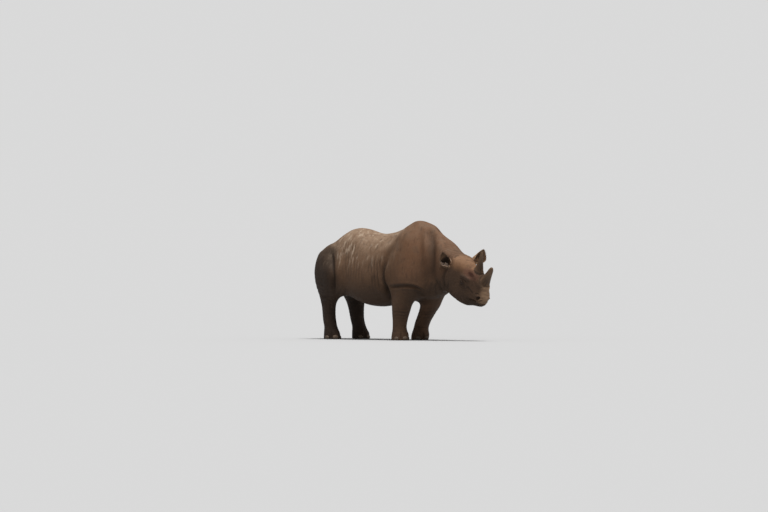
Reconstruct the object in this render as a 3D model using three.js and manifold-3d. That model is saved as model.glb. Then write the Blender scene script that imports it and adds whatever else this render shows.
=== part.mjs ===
// A black rhinoceros, life size, standing with its head lowered and its ears turned two ways.
// Millimetres. +X is towards the nose, +Y the animal's left and +Z up; the soles stand on Z = 0.
//
// The flesh is one distance function: the trunk and the head are lofts whose outline is given at a few
// stations, each leg is a stack of level sections, and muscles are ellipsoids melted into them. It is
// meshed once for each named part, at the fineness that the part needs, and trimmed to that part's own
// block of space, so neighbours meet at flat cuts SEAM wide. Horns, ears, eyes, toenails and tail are
// swept or turned pieces that sit in sockets of their own shape.

import * as THREE from "three";
import { mergeVertices } from "three/addons/utils/BufferGeometryUtils.js";
import Module from "manifold-3d";

const wasm = await Module();
wasm.setup();

// ---------------------------------------------------------------- driving dimensions

const SHOULDER_HEIGHT = 1600; // ground to the top of the hump
const SEAM = 0.4; // gap between neighbouring parts
const REAR_X = -1660; // last full section of the trunk; the rump is a dome behind it
const RUMP_DEPTH = 175; // length of that dome
const NECK_END_X = 720; // last section of the neck, inside the head
const NECK_DOME = 90;

const HEAD_PLACE = [700, 0, 1060]; // midway between the ear roots
const HEAD_PITCH = 30; // degrees that the line of the mouth points down
const HEAD_YAW = 0; // degrees that the head turns to the animal's left
const HEAD_ROLL = 8; // degrees that the left side of the head is lifted

const EYE_RADIUS = 18;
const EYE_PLACE = [287, -144]; // in the head: forward and up
const EYE_SINK = 3; // how far the eye's centre lies below the skin
const NOSTRIL_PLACE = [566, -219];

const FRONT_HORN = { place: [532, 0, -12], length: 262, root: [85, 72], blunt: 0.37, lean: 17, curl: -4 };
const REAR_HORN = { place: [378, 0, 44], length: 300, root: [79, 66], blunt: 0.26, lean: -4, curl: -4 };

const EAR_LENGTH = 235;
const EAR_WIDTH = 166;
const EAR_WALL = 11;

const TAIL_LENGTH = 640;

// ---------------------------------------------------------------- small maths

const { cos, sin, abs, max, min, sqrt, PI, hypot } = Math;
const clamp = THREE.MathUtils.clamp;
const lerp = THREE.MathUtils.lerp;
const radians = THREE.MathUtils.degToRad;
const SIDES = { right: -1, left: 1 };

// A smooth curve through [place, value] knots that never overshoots them.
function through(knots) {
  const slope = knots.map(([x, y], i) => {
    if (i === 0 || i === knots.length - 1) return 0;
    const before = (y - knots[i - 1][1]) / (x - knots[i - 1][0]);
    const after = (knots[i + 1][1] - y) / (knots[i + 1][0] - x);
    return before * after <= 0 ? 0 : (2 * before * after) / (before + after);
  });
  return (x) => {
    const t = clamp(x, knots[0][0], knots.at(-1)[0]);
    let i = 0;
    while (i < knots.length - 2 && t > knots[i + 1][0]) i++;
    const [[x0, y0], [x1, y1]] = [knots[i], knots[i + 1]];
    const span = x1 - x0;
    const u = (t - x0) / span;
    const a = y0 + (y1 - y0) * u * u * (3 - 2 * u);
    return a + span * u * (1 - u) * (slope[i] * (1 - u) - slope[i + 1] * u);
  };
}

// A union whose inner edge is rounded over about the given width.
function melt(a, b, width) {
  const h = max(width - abs(a - b), 0) / width;
  return min(a, b) - (h * h * width) / 4;
}

// Length of (x, y, z) in a rounded-box sense: 2 is a sphere, larger is squarer.
function girth(x, y, z, power) {
  return (abs(x) ** power + abs(y) ** power + abs(z) ** power) ** (1 / power);
}

// An ellipsoid at a place, with radii along its own axes, pitched nose-down by the given degrees.
function muscle([cx, cy, cz], [rx, ry, rz], pitch = 0) {
  const c = cos(radians(pitch));
  const s = sin(radians(pitch));
  return (x, y, z) => {
    const dx = x - cx;
    const dz = z - cz;
    const px = (dx * c - dz * s) / rx;
    const py = (y - cy) / ry;
    const pz = (dx * s + dz * c) / rz;
    const near = hypot(px, py, pz);
    const steep = hypot(px / rx, py / ry, pz / rz);
    return steep < 1e-9 ? -min(rx, ry, rz) : (near * (near - 1)) / steep;
  };
}

// ---------------------------------------------------------------- trunk and neck

const BACK = through([
  [-1660, 1235], [-1560, 1330], [-1430, 1425], [-1300, 1482], [-1150, 1508], [-960, 1480], [-735, 1430],
  [-500, 1445],
  [-230, 1515], [-20, SHOULDER_HEIGHT - 32], [150, 1526], [300, 1454], [450, 1314], [600, 1170], [720, 1095],
]);
const BELLY = through([
  [-1660, 790], [-1500, 720], [-1250, 590], [-1000, 505], [-620, 472], [-300, 500], [0, 565],
  [300, 615], [520, 690], [720, 800],
]);
const FLANK = through([
  [-1660, 235], [-1200, 335], [-850, 385], [-600, 395], [-250, 345], [50, 290], [300, 240],
  [600, 185], [720, 160],
]);
const TRUNK_SQUARENESS = 2.2;
const TRUNK_PEAR = 0.17; // how much narrower the back is than the belly

function trunk(x, y, z) {
  const at = clamp(x, REAR_X, NECK_END_X);
  const dome = x < REAR_X ? RUMP_DEPTH : NECK_DOME;
  const half = (BACK(at) - BELLY(at)) / 2;
  const up = (z - BELLY(at) - half) / half;
  const wide = FLANK(at) * (1 - TRUNK_PEAR * clamp(up, -1, 1));
  return (girth((x - at) / dome, y / wide, up, TRUNK_SQUARENESS) - 1) * min(wide, half);
}

// Muscles of one side, given for the left and mirrored: place, radii, pitch, melting width.
const SIDE_MUSCLES = [
  { place: [-1510, 218, 890], radii: [320, 160, 375], pitch: -6, width: 110 }, // haunch
  { place: [-1320, 235, 850], radii: [185, 125, 235], pitch: -18, width: 100 }, // thigh
  { place: [-40, 195, 1060], radii: [210, 125, 390], pitch: -12, width: 120 }, // shoulder blade
  { place: [0, 240, 790], radii: [215, 130, 215], pitch: -10, width: 100 }, // upper arm
  { place: [425, 92, 1075], radii: [320, 105, 206], pitch: 34, width: 110 }, // side of the neck
].map((m) => ({ ...m, shape: muscle(m.place, m.radii, m.pitch) }));

const MIDLINE_MUSCLES = [
  { place: [-790, 0, 790], radii: [470, 412, 325], pitch: 0, width: 120 }, // paunch
  { place: [-10, 0, SHOULDER_HEIGHT - 182], radii: [230, 110, 150], pitch: 0, width: 100 }, // hump
  { place: [200, 0, 750], radii: [190, 225, 178], pitch: 0, width: 110 }, // breast
].map((m) => ({ ...m, shape: muscle(m.place, m.radii, m.pitch) }));

// ---------------------------------------------------------------- legs

// A leg is a stack of level sections: [height, x and y of its centre, half length, half width].
// Y is outwards from the midline. `splay` turns the sections outwards, in degrees.
const FORE_SECTIONS = [
  [0, -195, 232, 118, 112], // sole
  [70, -190, 232, 122, 114], // foot
  [165, -200, 234, 98, 94], // pastern
  [290, -178, 240, 108, 104],
  [420, -150, 248, 132, 122], // knee
  [560, -120, 252, 160, 132],
  [760, -70, 250, 190, 130], // elbow
];
const HIND_SECTIONS = [
  [0, -1490, 232, 122, 110], // sole
  [70, -1490, 232, 124, 110], // foot
  [165, -1515, 232, 96, 86], // pastern
  [330, -1548, 234, 102, 82],
  [470, -1548, 238, 122, 88],
  [560, -1562, 240, 132, 98], // hock
  [690, -1518, 246, 178, 118],
  [880, -1420, 243, 235, 140], // stifle
];
// `stride` moves a leg forward by the second number at the height of the first.
const LEGS = {
  front_right: { side: -1, sections: FORE_SECTIONS, splay: 8, stride: [[0, 0], [760, 0]] },
  front_left: {
    side: 1,
    sections: FORE_SECTIONS,
    splay: 8,
    stride: [[0, -88], [160, -58], [294, -20], [384, 20], [560, 60], [760, 50]],
  },
  rear_right: { side: -1, sections: HIND_SECTIONS, splay: 20, stride: [[0, 0], [880, 0]] },
  rear_left: { side: 1, sections: HIND_SECTIONS, splay: 20, stride: [[0, 80], [880, 20]] },
};
const LEG_SQUARENESS = 2.2;
const LEG_MELT = 70;
const TOP_DOME = 120;

function legShape({ side, sections, splay, stride }) {
  const curves = [1, 2, 3, 4].map((i) => through(sections.map((s) => [s[0], s[i]])));
  const stepped = through(stride);
  const turn = radians(splay) * side;
  const top = sections.at(-1)[0];
  const centre = (z) => [curves[0](z) + stepped(z), side * curves[1](z)];
  const shape = (x, y, z) => {
    const at = clamp(z, -60, top);
    const [cx, cy] = centre(at);
    const dx = x - cx;
    const dy = y - cy;
    const along = dx * cos(turn) + dy * sin(turn);
    const across = dy * cos(turn) - dx * sin(turn);
    const [long, wide] = [curves[2](at), curves[3](at)];
    const r = girth(along / long, across / wide, (z - at) / TOP_DOME, LEG_SQUARENESS);
    return (r - 1) * min(long, wide);
  };
  return { shape, centre, turn, side };
}

const legShapes = Object.entries(LEGS).map(([name, leg]) => ({ name, ...legShape(leg) }));

// ---------------------------------------------------------------- head

// The head has its own frame: first axis along the mouth to the lips, second to the left, third up.
const headFrame = new THREE.Matrix4()
  .makeTranslation(...HEAD_PLACE)
  .multiply(new THREE.Matrix4().makeRotationZ(radians(HEAD_YAW)))
  .multiply(new THREE.Matrix4().makeRotationY(radians(HEAD_PITCH)))
  .multiply(new THREE.Matrix4().makeRotationX(radians(HEAD_ROLL)));
const intoHead = headFrame.clone().invert();

const NAPE = -70;
const LIPS = 590;
const LIP_DOME = 58;
const FACE = through([
  [-70, 52], [0, 66], [100, 86], [190, 100], [290, 78], [400, 42], [500, 4], [560, -50], [590, -100],
]);
const JAW = through([
  [-70, -335], [20, -378], [110, -452], [240, -490], [350, -476], [465, -412], [590, -325],
]);
const CHEEK = through([
  [-70, 150], [60, 160], [220, 145], [350, 108], [450, 92], [530, 84], [590, 72],
]);
const HEAD_SQUARENESS = 2.5;

const HEAD_MUSCLES = [
  { place: [130, 95, -270], radii: [185, 72, 160], pitch: -8, width: 60 }, // masseter
  { place: [262, 112, -88], radii: [85, 42, 50], pitch: 10, width: 45 }, // brow
  { place: [300, 112, -160], radii: [60, 32, 46], pitch: 0, width: 40 }, // lids
  { place: [566, 60, -200], radii: [70, 38, 72], pitch: 0, width: 45 }, // nostril wing
  { place: [78, 116, -4], radii: [90, 60, 80], pitch: 10, width: 55 }, // ear root
].flatMap((m) =>
  [-1, 1].map((s) => ({ ...m, shape: muscle([m.place[0], s * m.place[1], m.place[2]], m.radii, m.pitch) })),
);
const HEAD_RIDGES = [
  { place: [525, 0, -50], radii: [105, 88, 62], pitch: 25, width: 50 }, // front horn's boss
  { place: [378, 0, 10], radii: [95, 84, 55], pitch: 12, width: 50 }, // rear horn's boss
  { place: [610, 0, -266], radii: [46, 50, 64], pitch: 10, width: 40 }, // hooked upper lip
  { place: [530, 0, -338], radii: [85, 66, 40], pitch: -14, width: 40 }, // chin
].map((m) => ({ ...m, shape: muscle(m.place, m.radii, m.pitch) }));

function headShape(h, l, u) {
  const at = clamp(h, NAPE, LIPS);
  const half = (FACE(at) - JAW(at)) / 2;
  const up = (u - JAW(at) - half) / half;
  const wide = CHEEK(at);
  const dome = h < NAPE ? 120 : LIP_DOME;
  let d = (girth((h - at) / dome, l / wide, up, HEAD_SQUARENESS) - 1) * min(wide, half);
  for (const m of HEAD_MUSCLES) d = melt(d, m.shape(h, l, u), m.width);
  for (const m of HEAD_RIDGES) d = melt(d, m.shape(h, l, u), m.width);
  return d;
}

// ---------------------------------------------------------------- the whole skin

const NECK_MELT = 110;
const point = new THREE.Vector3();

function flesh(x, y, z) {
  let d = trunk(x, y, z);
  for (const m of MIDLINE_MUSCLES) d = melt(d, m.shape(x, y, z), m.width);
  for (const m of SIDE_MUSCLES) d = melt(d, m.shape(x, abs(y), z), m.width);
  for (const leg of legShapes) d = melt(d, leg.shape(x, y, z), LEG_MELT);
  if (x > 100) {
    point.set(x, y, z).applyMatrix4(intoHead);
    d = melt(d, headShape(point.x, point.y, point.z), NECK_MELT);
  }
  return d;
}

// ---------------------------------------------------------------- meshing and cutting

function solidOf(geometry) {
  const bare = geometry.index ? geometry.toNonIndexed() : geometry.clone();
  for (const name of Object.keys(bare.attributes)) if (name !== "position") bare.deleteAttribute(name);
  const merged = mergeVertices(bare, 1e-3);
  return new wasm.Manifold(
    new wasm.Mesh({
      numProp: 3,
      vertProperties: merged.attributes.position.array,
      triVerts: new Uint32Array(merged.index.array),
    }),
  );
}

function geometryOf(solid) {
  const { numProp, numVert, vertProperties, triVerts } = solid.getMesh();
  const places = new Float32Array(numVert * 3);
  for (let i = 0; i < numVert; i++) places.set(vertProperties.subarray(i * numProp, i * numProp + 3), i * 3);
  const geometry = new THREE.BufferGeometry();
  geometry.setAttribute("position", new THREE.BufferAttribute(places, 3));
  geometry.setIndex(new THREE.BufferAttribute(triVerts, 1));
  geometry.computeVertexNormals();
  return geometry;
}

// Moves a vertex along the slope of the distance function until it lies on the surface.
function settle(distance, p, reach) {
  const step = 0.5;
  for (let i = 0; i < 3; i++) {
    const d = distance(...p);
    const slope = [0, 1, 2].map((k) => {
      const q = [...p];
      q[k] += step;
      return (distance(...q) - d) / step;
    });
    const steep = max(slope[0] ** 2 + slope[1] ** 2 + slope[2] ** 2, 0.05);
    for (let k = 0; k < 3; k++) p[k] -= clamp((d * slope[k]) / steep, -reach, reach);
  }
  return p;
}

// Evens out a mesh: each vertex moves half way to the middle of its neighbours, then back onto the surface.
const RELAX_PASSES = 4;

function relax(distance, places, triangles, reach) {
  const sum = new Float64Array(places.length);
  const weight = new Float64Array(places.length / 3);
  for (let t = 0; t < triangles.length; t += 3)
    for (const [a, b] of [[0, 1], [1, 2], [2, 0]]) {
      const [from, to] = [triangles[t + a], triangles[t + b]];
      for (let k = 0; k < 3; k++) sum[from * 3 + k] += places[to * 3 + k];
      weight[from]++;
    }
  for (let v = 0; v < weight.length; v++) {
    const p = [0, 1, 2].map((k) => lerp(places[v * 3 + k], sum[v * 3 + k] / weight[v], 0.5));
    settle(distance, p, reach).forEach((value, k) => (places[v * 3 + k] = value));
  }
}

// Meshes a distance function inside a box: one vertex in each cell that the surface crosses, and one
// pair of triangles round each grid edge that it cuts.
function meshOf(distance, low, high, cell) {
  const count = low.map((a, i) => Math.ceil((high[i] - a) / cell) + 1);
  const [nx, ny, nz] = count;
  const index = (i, j, k) => i + nx * (j + ny * k);
  const place = (i, j, k) => [low[0] + i * cell, low[1] + j * cell, low[2] + k * cell];
  const value = new Float64Array(nx * ny * nz);
  for (let k = 0; k < nz; k++)
    for (let j = 0; j < ny; j++)
      for (let i = 0; i < nx; i++) {
        const rim = i === 0 || j === 0 || k === 0 || i === nx - 1 || j === ny - 1 || k === nz - 1;
        const d = distance(...place(i, j, k));
        value[index(i, j, k)] = rim ? max(d, cell / 2) : d;
      }
  const corners = [0, 1, 2, 3, 4, 5, 6, 7].map((c) => [c & 1, (c >> 1) & 1, c >> 2]);
  const steps = (a, b) => abs(a[0] - b[0]) + abs(a[1] - b[1]) + abs(a[2] - b[2]);
  const pairs = corners.flatMap((a, i) => corners.slice(i + 1).map((b) => [a, b]));
  const edges = pairs.filter(([a, b]) => steps(a, b) === 1);
  const vertex = new Int32Array(nx * ny * nz).fill(-1);
  const places = [];
  for (let k = 0; k < nz - 1; k++)
    for (let j = 0; j < ny - 1; j++)
      for (let i = 0; i < nx - 1; i++) {
        const sum = [0, 0, 0];
        let hits = 0;
        for (const [a, b] of edges) {
          const va = value[index(i + a[0], j + a[1], k + a[2])];
          const vb = value[index(i + b[0], j + b[1], k + b[2])];
          if (va < 0 === vb < 0) continue;
          const t = va / (va - vb);
          for (let m = 0; m < 3; m++) sum[m] += lerp(a[m], b[m], t);
          hits++;
        }
        if (!hits) continue;
        const middle = place(i, j, k).map((v, m) => v + (sum[m] / hits) * cell);
        vertex[index(i, j, k)] = places.length / 3;
        places.push(...settle(distance, middle, cell * 0.4));
      }
  const triangles = [];
  const round = (a, b, c, d, flip) => {
    if (flip) triangles.push(a, c, b, a, d, c);
    else triangles.push(a, b, c, a, c, d);
  };
  for (let k = 0; k < nz - 1; k++)
    for (let j = 0; j < ny - 1; j++)
      for (let i = 0; i < nx - 1; i++) {
        const here = value[index(i, j, k)] < 0;
        const at = (a, b, c) => vertex[index(i - a, j - b, k - c)];
        if (here !== value[index(i + 1, j, k)] < 0)
          round(at(0, 1, 1), at(0, 0, 1), at(0, 0, 0), at(0, 1, 0), !here);
        if (here !== value[index(i, j + 1, k)] < 0)
          round(at(1, 0, 1), at(1, 0, 0), at(0, 0, 0), at(0, 0, 1), !here);
        if (here !== value[index(i, j, k + 1)] < 0)
          round(at(1, 1, 0), at(0, 1, 0), at(0, 0, 0), at(1, 0, 0), !here);
      }
  for (let pass = 0; pass < RELAX_PASSES; pass++) relax(distance, places, triangles, cell * 0.3);
  const geometry = new THREE.BufferGeometry();
  geometry.setAttribute("position", new THREE.BufferAttribute(new Float32Array(places), 3));
  geometry.setIndex(triangles);
  return solidOf(geometry);
}

// A block of space: centre, size, and its turn as the XYZ angles of a three.js Euler, in degrees.
function block(centre, size, turn = [0, 0, 0]) {
  return { centre, size, turn };
}

function blockSolid({ centre, size, turn }, grow) {
  const box = new THREE.BoxGeometry(...size.map((s) => s + 2 * grow));
  box.applyMatrix4(new THREE.Matrix4().makeRotationFromEuler(new THREE.Euler(...turn.map(radians))));
  box.translate(...centre);
  return solidOf(box);
}

function blockReach({ centre, size, turn }, margin) {
  const box = new THREE.BoxGeometry(...size);
  box.applyMatrix4(new THREE.Matrix4().makeRotationFromEuler(new THREE.Euler(...turn.map(radians))));
  box.translate(...centre);
  box.computeBoundingBox();
  return [box.boundingBox.min.subScalar(margin).toArray(), box.boundingBox.max.addScalar(margin).toArray()];
}

// ---------------------------------------------------------------- swept pieces

// A closed solid from rings of points, all with the same number of points.
function skinRings(rings) {
  const n = rings[0].length;
  const places = rings.flat(2);
  const triangles = [];
  for (let r = 0; r < rings.length - 1; r++)
    for (let i = 0; i < n; i++) {
      const [a, b] = [r * n + i, r * n + ((i + 1) % n)];
      triangles.push(a, b, b + n, a, b + n, a + n);
    }
  const cap = (ring, start, flip) => {
    const middle = ring.reduce((s, p) => s.map((v, m) => v + p[m] / n), [0, 0, 0]);
    places.push(...middle);
    const hub = places.length / 3 - 1;
    for (let i = 0; i < n; i++) {
      const [a, b] = [start + i, start + ((i + 1) % n)];
      if (flip) triangles.push(hub, b, a);
      else triangles.push(hub, a, b);
    }
  };
  cap(rings[0], 0, true);
  cap(rings.at(-1), (rings.length - 1) * n, false);
  const geometry = new THREE.BufferGeometry();
  geometry.setAttribute("position", new THREE.BufferAttribute(new Float32Array(places), 3));
  geometry.setIndex(triangles);
  return geometry;
}

// A horn stands on the nose, oval at the root, and bends along the midline as it tapers. `blunt` is
// the thickness of its tip as a share of the root's.
const HORN_SINK = 34; // how deep its root sits below the skin
const HORN_SIDES = 12;
const HORN_RINGS = 8;

function hornGeometry({ place, length, root, blunt, lean, curl }, grow) {
  const rings = [];
  for (let r = 0; r <= HORN_RINGS; r++) {
    const t = r / HORN_RINGS;
    const level = lerp(-HORN_SINK, length, t);
    const up = level + (r === 0 ? -grow : 0);
    const s = max(level / length, 0);
    const flare = 0.5 * (1 - s) + 0.5 * (1 - s) ** 2.4;
    const taper = blunt + (1 - blunt) * flare + (up < 0 ? -up * 0.0012 : 0);
    const tip = r === HORN_RINGS ? 0.55 : 1;
    const angle = radians(lean + curl * s);
    const along = up * sin(angle);
    const rise = up * cos(angle);
    const ring = [];
    for (let i = 0; i < HORN_SIDES; i++) {
      const a = (i / HORN_SIDES) * 2 * PI;
      const x = cos(a) * (root[0] * taper * tip + grow);
      const y = sin(a) * (root[1] * taper * tip + grow);
      ring.push([place[0] + along + x * cos(angle), y, place[2] + rise - x * sin(angle)]);
    }
    rings.push(ring);
  }
  return skinRings(rings).applyMatrix4(headFrame);
}

// An ear is a leaf rolled into a cup on a round stalk: each section is a crescent that opens as it
// leaves the stalk. Its socket has the same outline with the cup filled in. `root` is in the head;
// `aim` points along the ear and `face` out of the cup, both in the body's own directions. `bow` is
// how far the middle of the ear bends aside.
const EAR_RINGS = 8;
const EAR_ARC = 8; // points on each side of a section
const EARS = {
  right: { root: [32, -156, -32], aim: [-0.24, -0.55, 0.8], face: [0.8, -0.6, 0], bow: 45 },
  left: { root: [105, 148, 14], aim: [0.54, 0.37, 0.82], face: [0.85, -0.5, 0], bow: -40 },
};
const EAR_SINK = 30;
const EAR_LEAN = 12; // how far the tip leans out over the cup
const EAR_HALF_WIDTH = through([[0, 0.6], [0.14, 0.86], [0.38, 1], [0.58, 0.95], [0.82, 0.58], [1, 0.1]]);
const EAR_WRAP = through([[0, 172], [0.14, 160], [0.35, 122], [0.6, 90], [1, 62]]); // half angle
const EAR_FLOOR = 0.2; // the cup is filled in below this part of its length

function earGeometry({ root, aim, face, bow }, grow) {
  const up = new THREE.Vector3(...aim).normalize();
  const open = new THREE.Vector3(...face);
  open.addScaledVector(up, -open.dot(up)).normalize();
  const across = new THREE.Vector3().crossVectors(open, up);
  const base = new THREE.Vector3(...root).applyMatrix4(headFrame);
  const margin = 1.2 * grow;
  const rings = [];
  for (let r = 0; r <= EAR_RINGS; r++) {
    const level = lerp(-EAR_SINK, EAR_LENGTH, r / EAR_RINGS);
    const rise = level + (r === 0 ? -grow : 0);
    const s = max(level / EAR_LENGTH, 0);
    const wrap = radians(EAR_WRAP(s));
    const half = (EAR_WIDTH / 2) * EAR_HALF_WIDTH(s);
    const radius = half / sin(min(wrap, PI / 2));
    const wall = lerp(min(EAR_WALL, half * 0.9), radius, clamp((EAR_FLOOR - s) / 0.1, 0, 1));
    const outer = radius + margin;
    const inner = max(radius - wall, 1.5);
    const shift = radius * cos(wrap) * 0.5 + EAR_LEAN * s;
    const ring = [];
    const put = (out, side) => {
      const place = base.clone().addScaledVector(up, rise);
      place.addScaledVector(open, out + shift).addScaledVector(across, side + bow * sin(PI * min(s, 1)));
      ring.push(place.toArray());
    };
    for (let i = 0; i < EAR_ARC; i++) {
      const a = lerp(-wrap, wrap, i / (EAR_ARC - 1));
      put(-cos(a) * outer, sin(a) * outer);
    }
    for (let i = EAR_ARC - 1; i >= 0; i--) {
      const t = lerp(-1, 1, i / (EAR_ARC - 1));
      if (grow > 0) put(margin - cos(wrap) * outer, t * sin(wrap) * outer);
      else put(-cos(t * wrap) * inner, sin(t * wrap) * inner);
    }
    rings.push(ring);
  }
  return skinRings(rings);
}

// The tail hangs from the rump, oval at its root and round below; a flat brush of bristles ends it.
const TAIL_ROOT = [-1805, 0, 1130];
const TAIL_SINK = 90;
const TAIL_SIDES = 8;
const TAIL_LINE = new THREE.CatmullRomCurve3(
  [
    [TAIL_SINK, 0, 22], [0, 0, 0], [-62, -4, -60], [-88, -8, -190], [-84, -10, -360], [-72, -8, -TAIL_LENGTH],
  ].map(([x, y, z]) => new THREE.Vector3(TAIL_ROOT[0] + x, TAIL_ROOT[1] + y, TAIL_ROOT[2] + z)),
);
const TAIL_WIDTH = through([[0, 52], [0.2, 46], [0.5, 27], [0.8, 17], [1, 14]]);
const TAIL_THICK = through([[0, 60], [0.2, 40], [0.5, 24], [0.8, 15], [1, 12]]);
const BRUSH_FROM = 0.74;
const BRUSH_SWELL = through([[0.74, 1.15], [0.86, 1.7], [1, 0.7]]);

function sweepTail(from, to, rings, grow, swell) {
  const made = [];
  for (let r = 0; r <= rings; r++) {
    const t = lerp(from, to, r / rings);
    const centre = TAIL_LINE.getPointAt(t);
    const along = TAIL_LINE.getTangentAt(t);
    const side = new THREE.Vector3(0, 1, 0);
    const out = new THREE.Vector3().crossVectors(side, along).normalize();
    const end = r === 0 ? -grow : r === rings ? grow : 0;
    const ring = [];
    for (let i = 0; i < TAIL_SIDES; i++) {
      const a = (i / TAIL_SIDES) * 2 * PI;
      ring.push(
        centre
          .clone()
          .addScaledVector(along, end)
          .addScaledVector(side, cos(a) * (TAIL_WIDTH(t) * swell(t) + grow))
          .addScaledVector(out, -sin(a) * (TAIL_THICK(t) * swell(t) + grow))
          .toArray(),
      );
    }
    made.push(ring);
  }
  return skinRings(made);
}

// ---------------------------------------------------------------- toenails

// Three broad nails round the front of each foot: the middle one and one to either side.
const NAILS = [
  { name: "middle", angle: 0, size: [30, 46, 42] },
  { name: "outer", angle: 62, size: [26, 38, 36] },
  { name: "inner", angle: -62, size: [26, 38, 36] },
];
const NAIL_SINK = 12; // how far a nail's middle lies inside the foot's outline

function nailGeometry(leg, { angle, size }, grow) {
  const [cx, cy] = leg.centre(30);
  const turn = leg.turn + radians(angle) * leg.side;
  let reach = 60;
  while (leg.shape(cx + cos(turn) * reach, cy + sin(turn) * reach, 30) < 0) reach += 1;
  const nail = new THREE.SphereGeometry(1, 7, 4);
  nail.scale(...size.map((s) => s + grow));
  nail.rotateY(radians(-14));
  nail.rotateZ(turn);
  nail.translate(cx + cos(turn) * (reach - NAIL_SINK), cy + sin(turn) * (reach - NAIL_SINK), 26);
  return nail;
}

// ---------------------------------------------------------------- parts

const SKIN_COLOUR = 0x5a4636;
const materials = {
  skin: new THREE.MeshStandardMaterial({ color: SKIN_COLOUR, roughness: 0.85, metalness: 0 }),
  horn: new THREE.MeshStandardMaterial({ color: 0x4a3a2c, roughness: 0.6, metalness: 0 }),
  nail: new THREE.MeshStandardMaterial({ color: 0x6b5a48, roughness: 0.65, metalness: 0 }),
  eye: new THREE.MeshStandardMaterial({ color: 0x120c08, roughness: 0.1, metalness: 0 }),
  bristle: new THREE.MeshStandardMaterial({ color: 0x1d1712, roughness: 0.8, metalness: 0 }),
};

// Blocks that trim the flesh to each part. The head's two cuts are square to the neck.
// `cutAt` is a point of the block's rear face, which leans forward at the top by the given degrees.
function blockAhead(cutAt, lean, width, height) {
  const half = 600;
  const [x, z] = cutAt;
  const turn = radians(lean);
  return block([x + cos(turn) * half, 0, z - sin(turn) * half], [2 * half, width, height], [0, lean, 0]);
}
const headBlock = blockAhead([578, 926], 20, 900, 1500);
const neckBlock = blockAhead([235, 1050], 16, 1200, 1800);
const legBlocks = {
  front_right: block([-150, -390, 200], [620, 640, 600], [0, -9.5, 0]),
  front_left: block([-150, 390, 200], [620, 640, 600], [0, -9.5, 0]),
  rear_right: block([-1540, -390, 230], [580, 640, 660]),
  rear_left: block([-1540, 390, 230], [580, 640, 660]),
};

const CELLS = { trunk: 108, neck: 90, head: 45 };
const LEG_LEVELS = [-20, 20, 80, 130, 180, 250, 330, 410, 490, 570];
const LEG_SIDES = 16;
const LEG_REACH = 205; // no point of a leg is farther than this from the leg's own line

// Wraps the flesh round a leg's own line: level rings of points on the surface.
function legSolid(leg) {
  const rings = LEG_LEVELS.map((z) => {
    const [cx, cy] = leg.centre(z);
    return [...Array(LEG_SIDES).keys()].map((i) => {
      const a = (i / LEG_SIDES) * 2 * PI + leg.turn;
      let [inside, outside] = [0, LEG_REACH];
      for (let out = 20; out < LEG_REACH; out += 10)
        if (flesh(cx + cos(a) * out, cy + sin(a) * out, z) > 0) {
          [inside, outside] = [out - 10, out];
          break;
        }
      for (let halving = 0; halving < 12; halving++) {
        const middle = (inside + outside) / 2;
        if (flesh(cx + cos(a) * middle, cy + sin(a) * middle, z) > 0) outside = middle;
        else inside = middle;
      }
      return [cx + cos(a) * outside, cy + sin(a) * outside, z];
    });
  });
  return solidOf(skinRings(rings));
}

function partOf(own, others, cell) {
  const [low, high] = blockReach(own, cell * 1.5);
  let part = meshOf(flesh, low, high, cell).intersect(blockSolid(own, 0));
  for (const other of others) part = part.subtract(blockSolid(other, SEAM));
  return part;
}

const solids = {};

solids.head = partOf(headBlock, [], CELLS.head);
solids.neck = partOf(neckBlock, [headBlock, legBlocks.front_right, legBlocks.front_left], CELLS.neck);
const floor = blockSolid(block([0, 0, -500], [6000, 3000, 1000]), 0);
for (const leg of legShapes)
  solids[`${leg.name}_leg`] = legSolid(leg).intersect(blockSolid(legBlocks[leg.name], 0)).subtract(floor);
solids.trunk = meshOf(flesh, [-2050, -700, 60], [700, 700, 1800], CELLS.trunk);
for (const other of [neckBlock, ...Object.values(legBlocks)])
  solids.trunk = solids.trunk.subtract(blockSolid(other, SEAM));

// Puts a piece in a socket of its own shape, SEAM wider, in the part that holds it.
function seat(name, make, holders) {
  solids[name] = solidOf(make(0));
  for (const holder of holders) solids[holder] = solids[holder].subtract(solidOf(make(SEAM)));
}

// The distance from the head's middle line to its skin, at a place given forward and up.
function halfHead(forward, up, sign) {
  let out = 20;
  while (headShape(forward, sign * out, up) < 0) out += 0.5;
  return out;
}

seat("front_horn", (grow) => hornGeometry(FRONT_HORN, grow), ["head"]);
seat("rear_horn", (grow) => hornGeometry(REAR_HORN, grow), ["head", "front_horn"]);
for (const [side, sign] of Object.entries(SIDES)) {
  seat(`${side}_ear`, (grow) => earGeometry(EARS[side], grow), ["head", "neck"]);
  seat(
    `${side}_eye`,
    (grow) =>
      new THREE.SphereGeometry(EYE_RADIUS + grow, 10, 7)
        .translate(EYE_PLACE[0], sign * (halfHead(...EYE_PLACE, sign) - EYE_SINK), EYE_PLACE[1])
        .applyMatrix4(headFrame),
    ["head"],
  );
}
seat("tail", (grow) => sweepTail(0, BRUSH_FROM, 12, grow, () => 1), ["trunk"]);
solids.tail_brush = solidOf(sweepTail(BRUSH_FROM + 0.0006, 1, 6, 0, BRUSH_SWELL));

// The nostrils are comma-shaped pits.
for (const sign of Object.values(SIDES)) {
  const pit = new THREE.SphereGeometry(1, 14, 10);
  pit.scale(34, 30, 15);
  pit.rotateY(radians(24));
  pit.translate(NOSTRIL_PLACE[0], sign * halfHead(...NOSTRIL_PLACE, sign), NOSTRIL_PLACE[1]);
  solids.head = solids.head.subtract(solidOf(pit.applyMatrix4(headFrame)));
}

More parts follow.
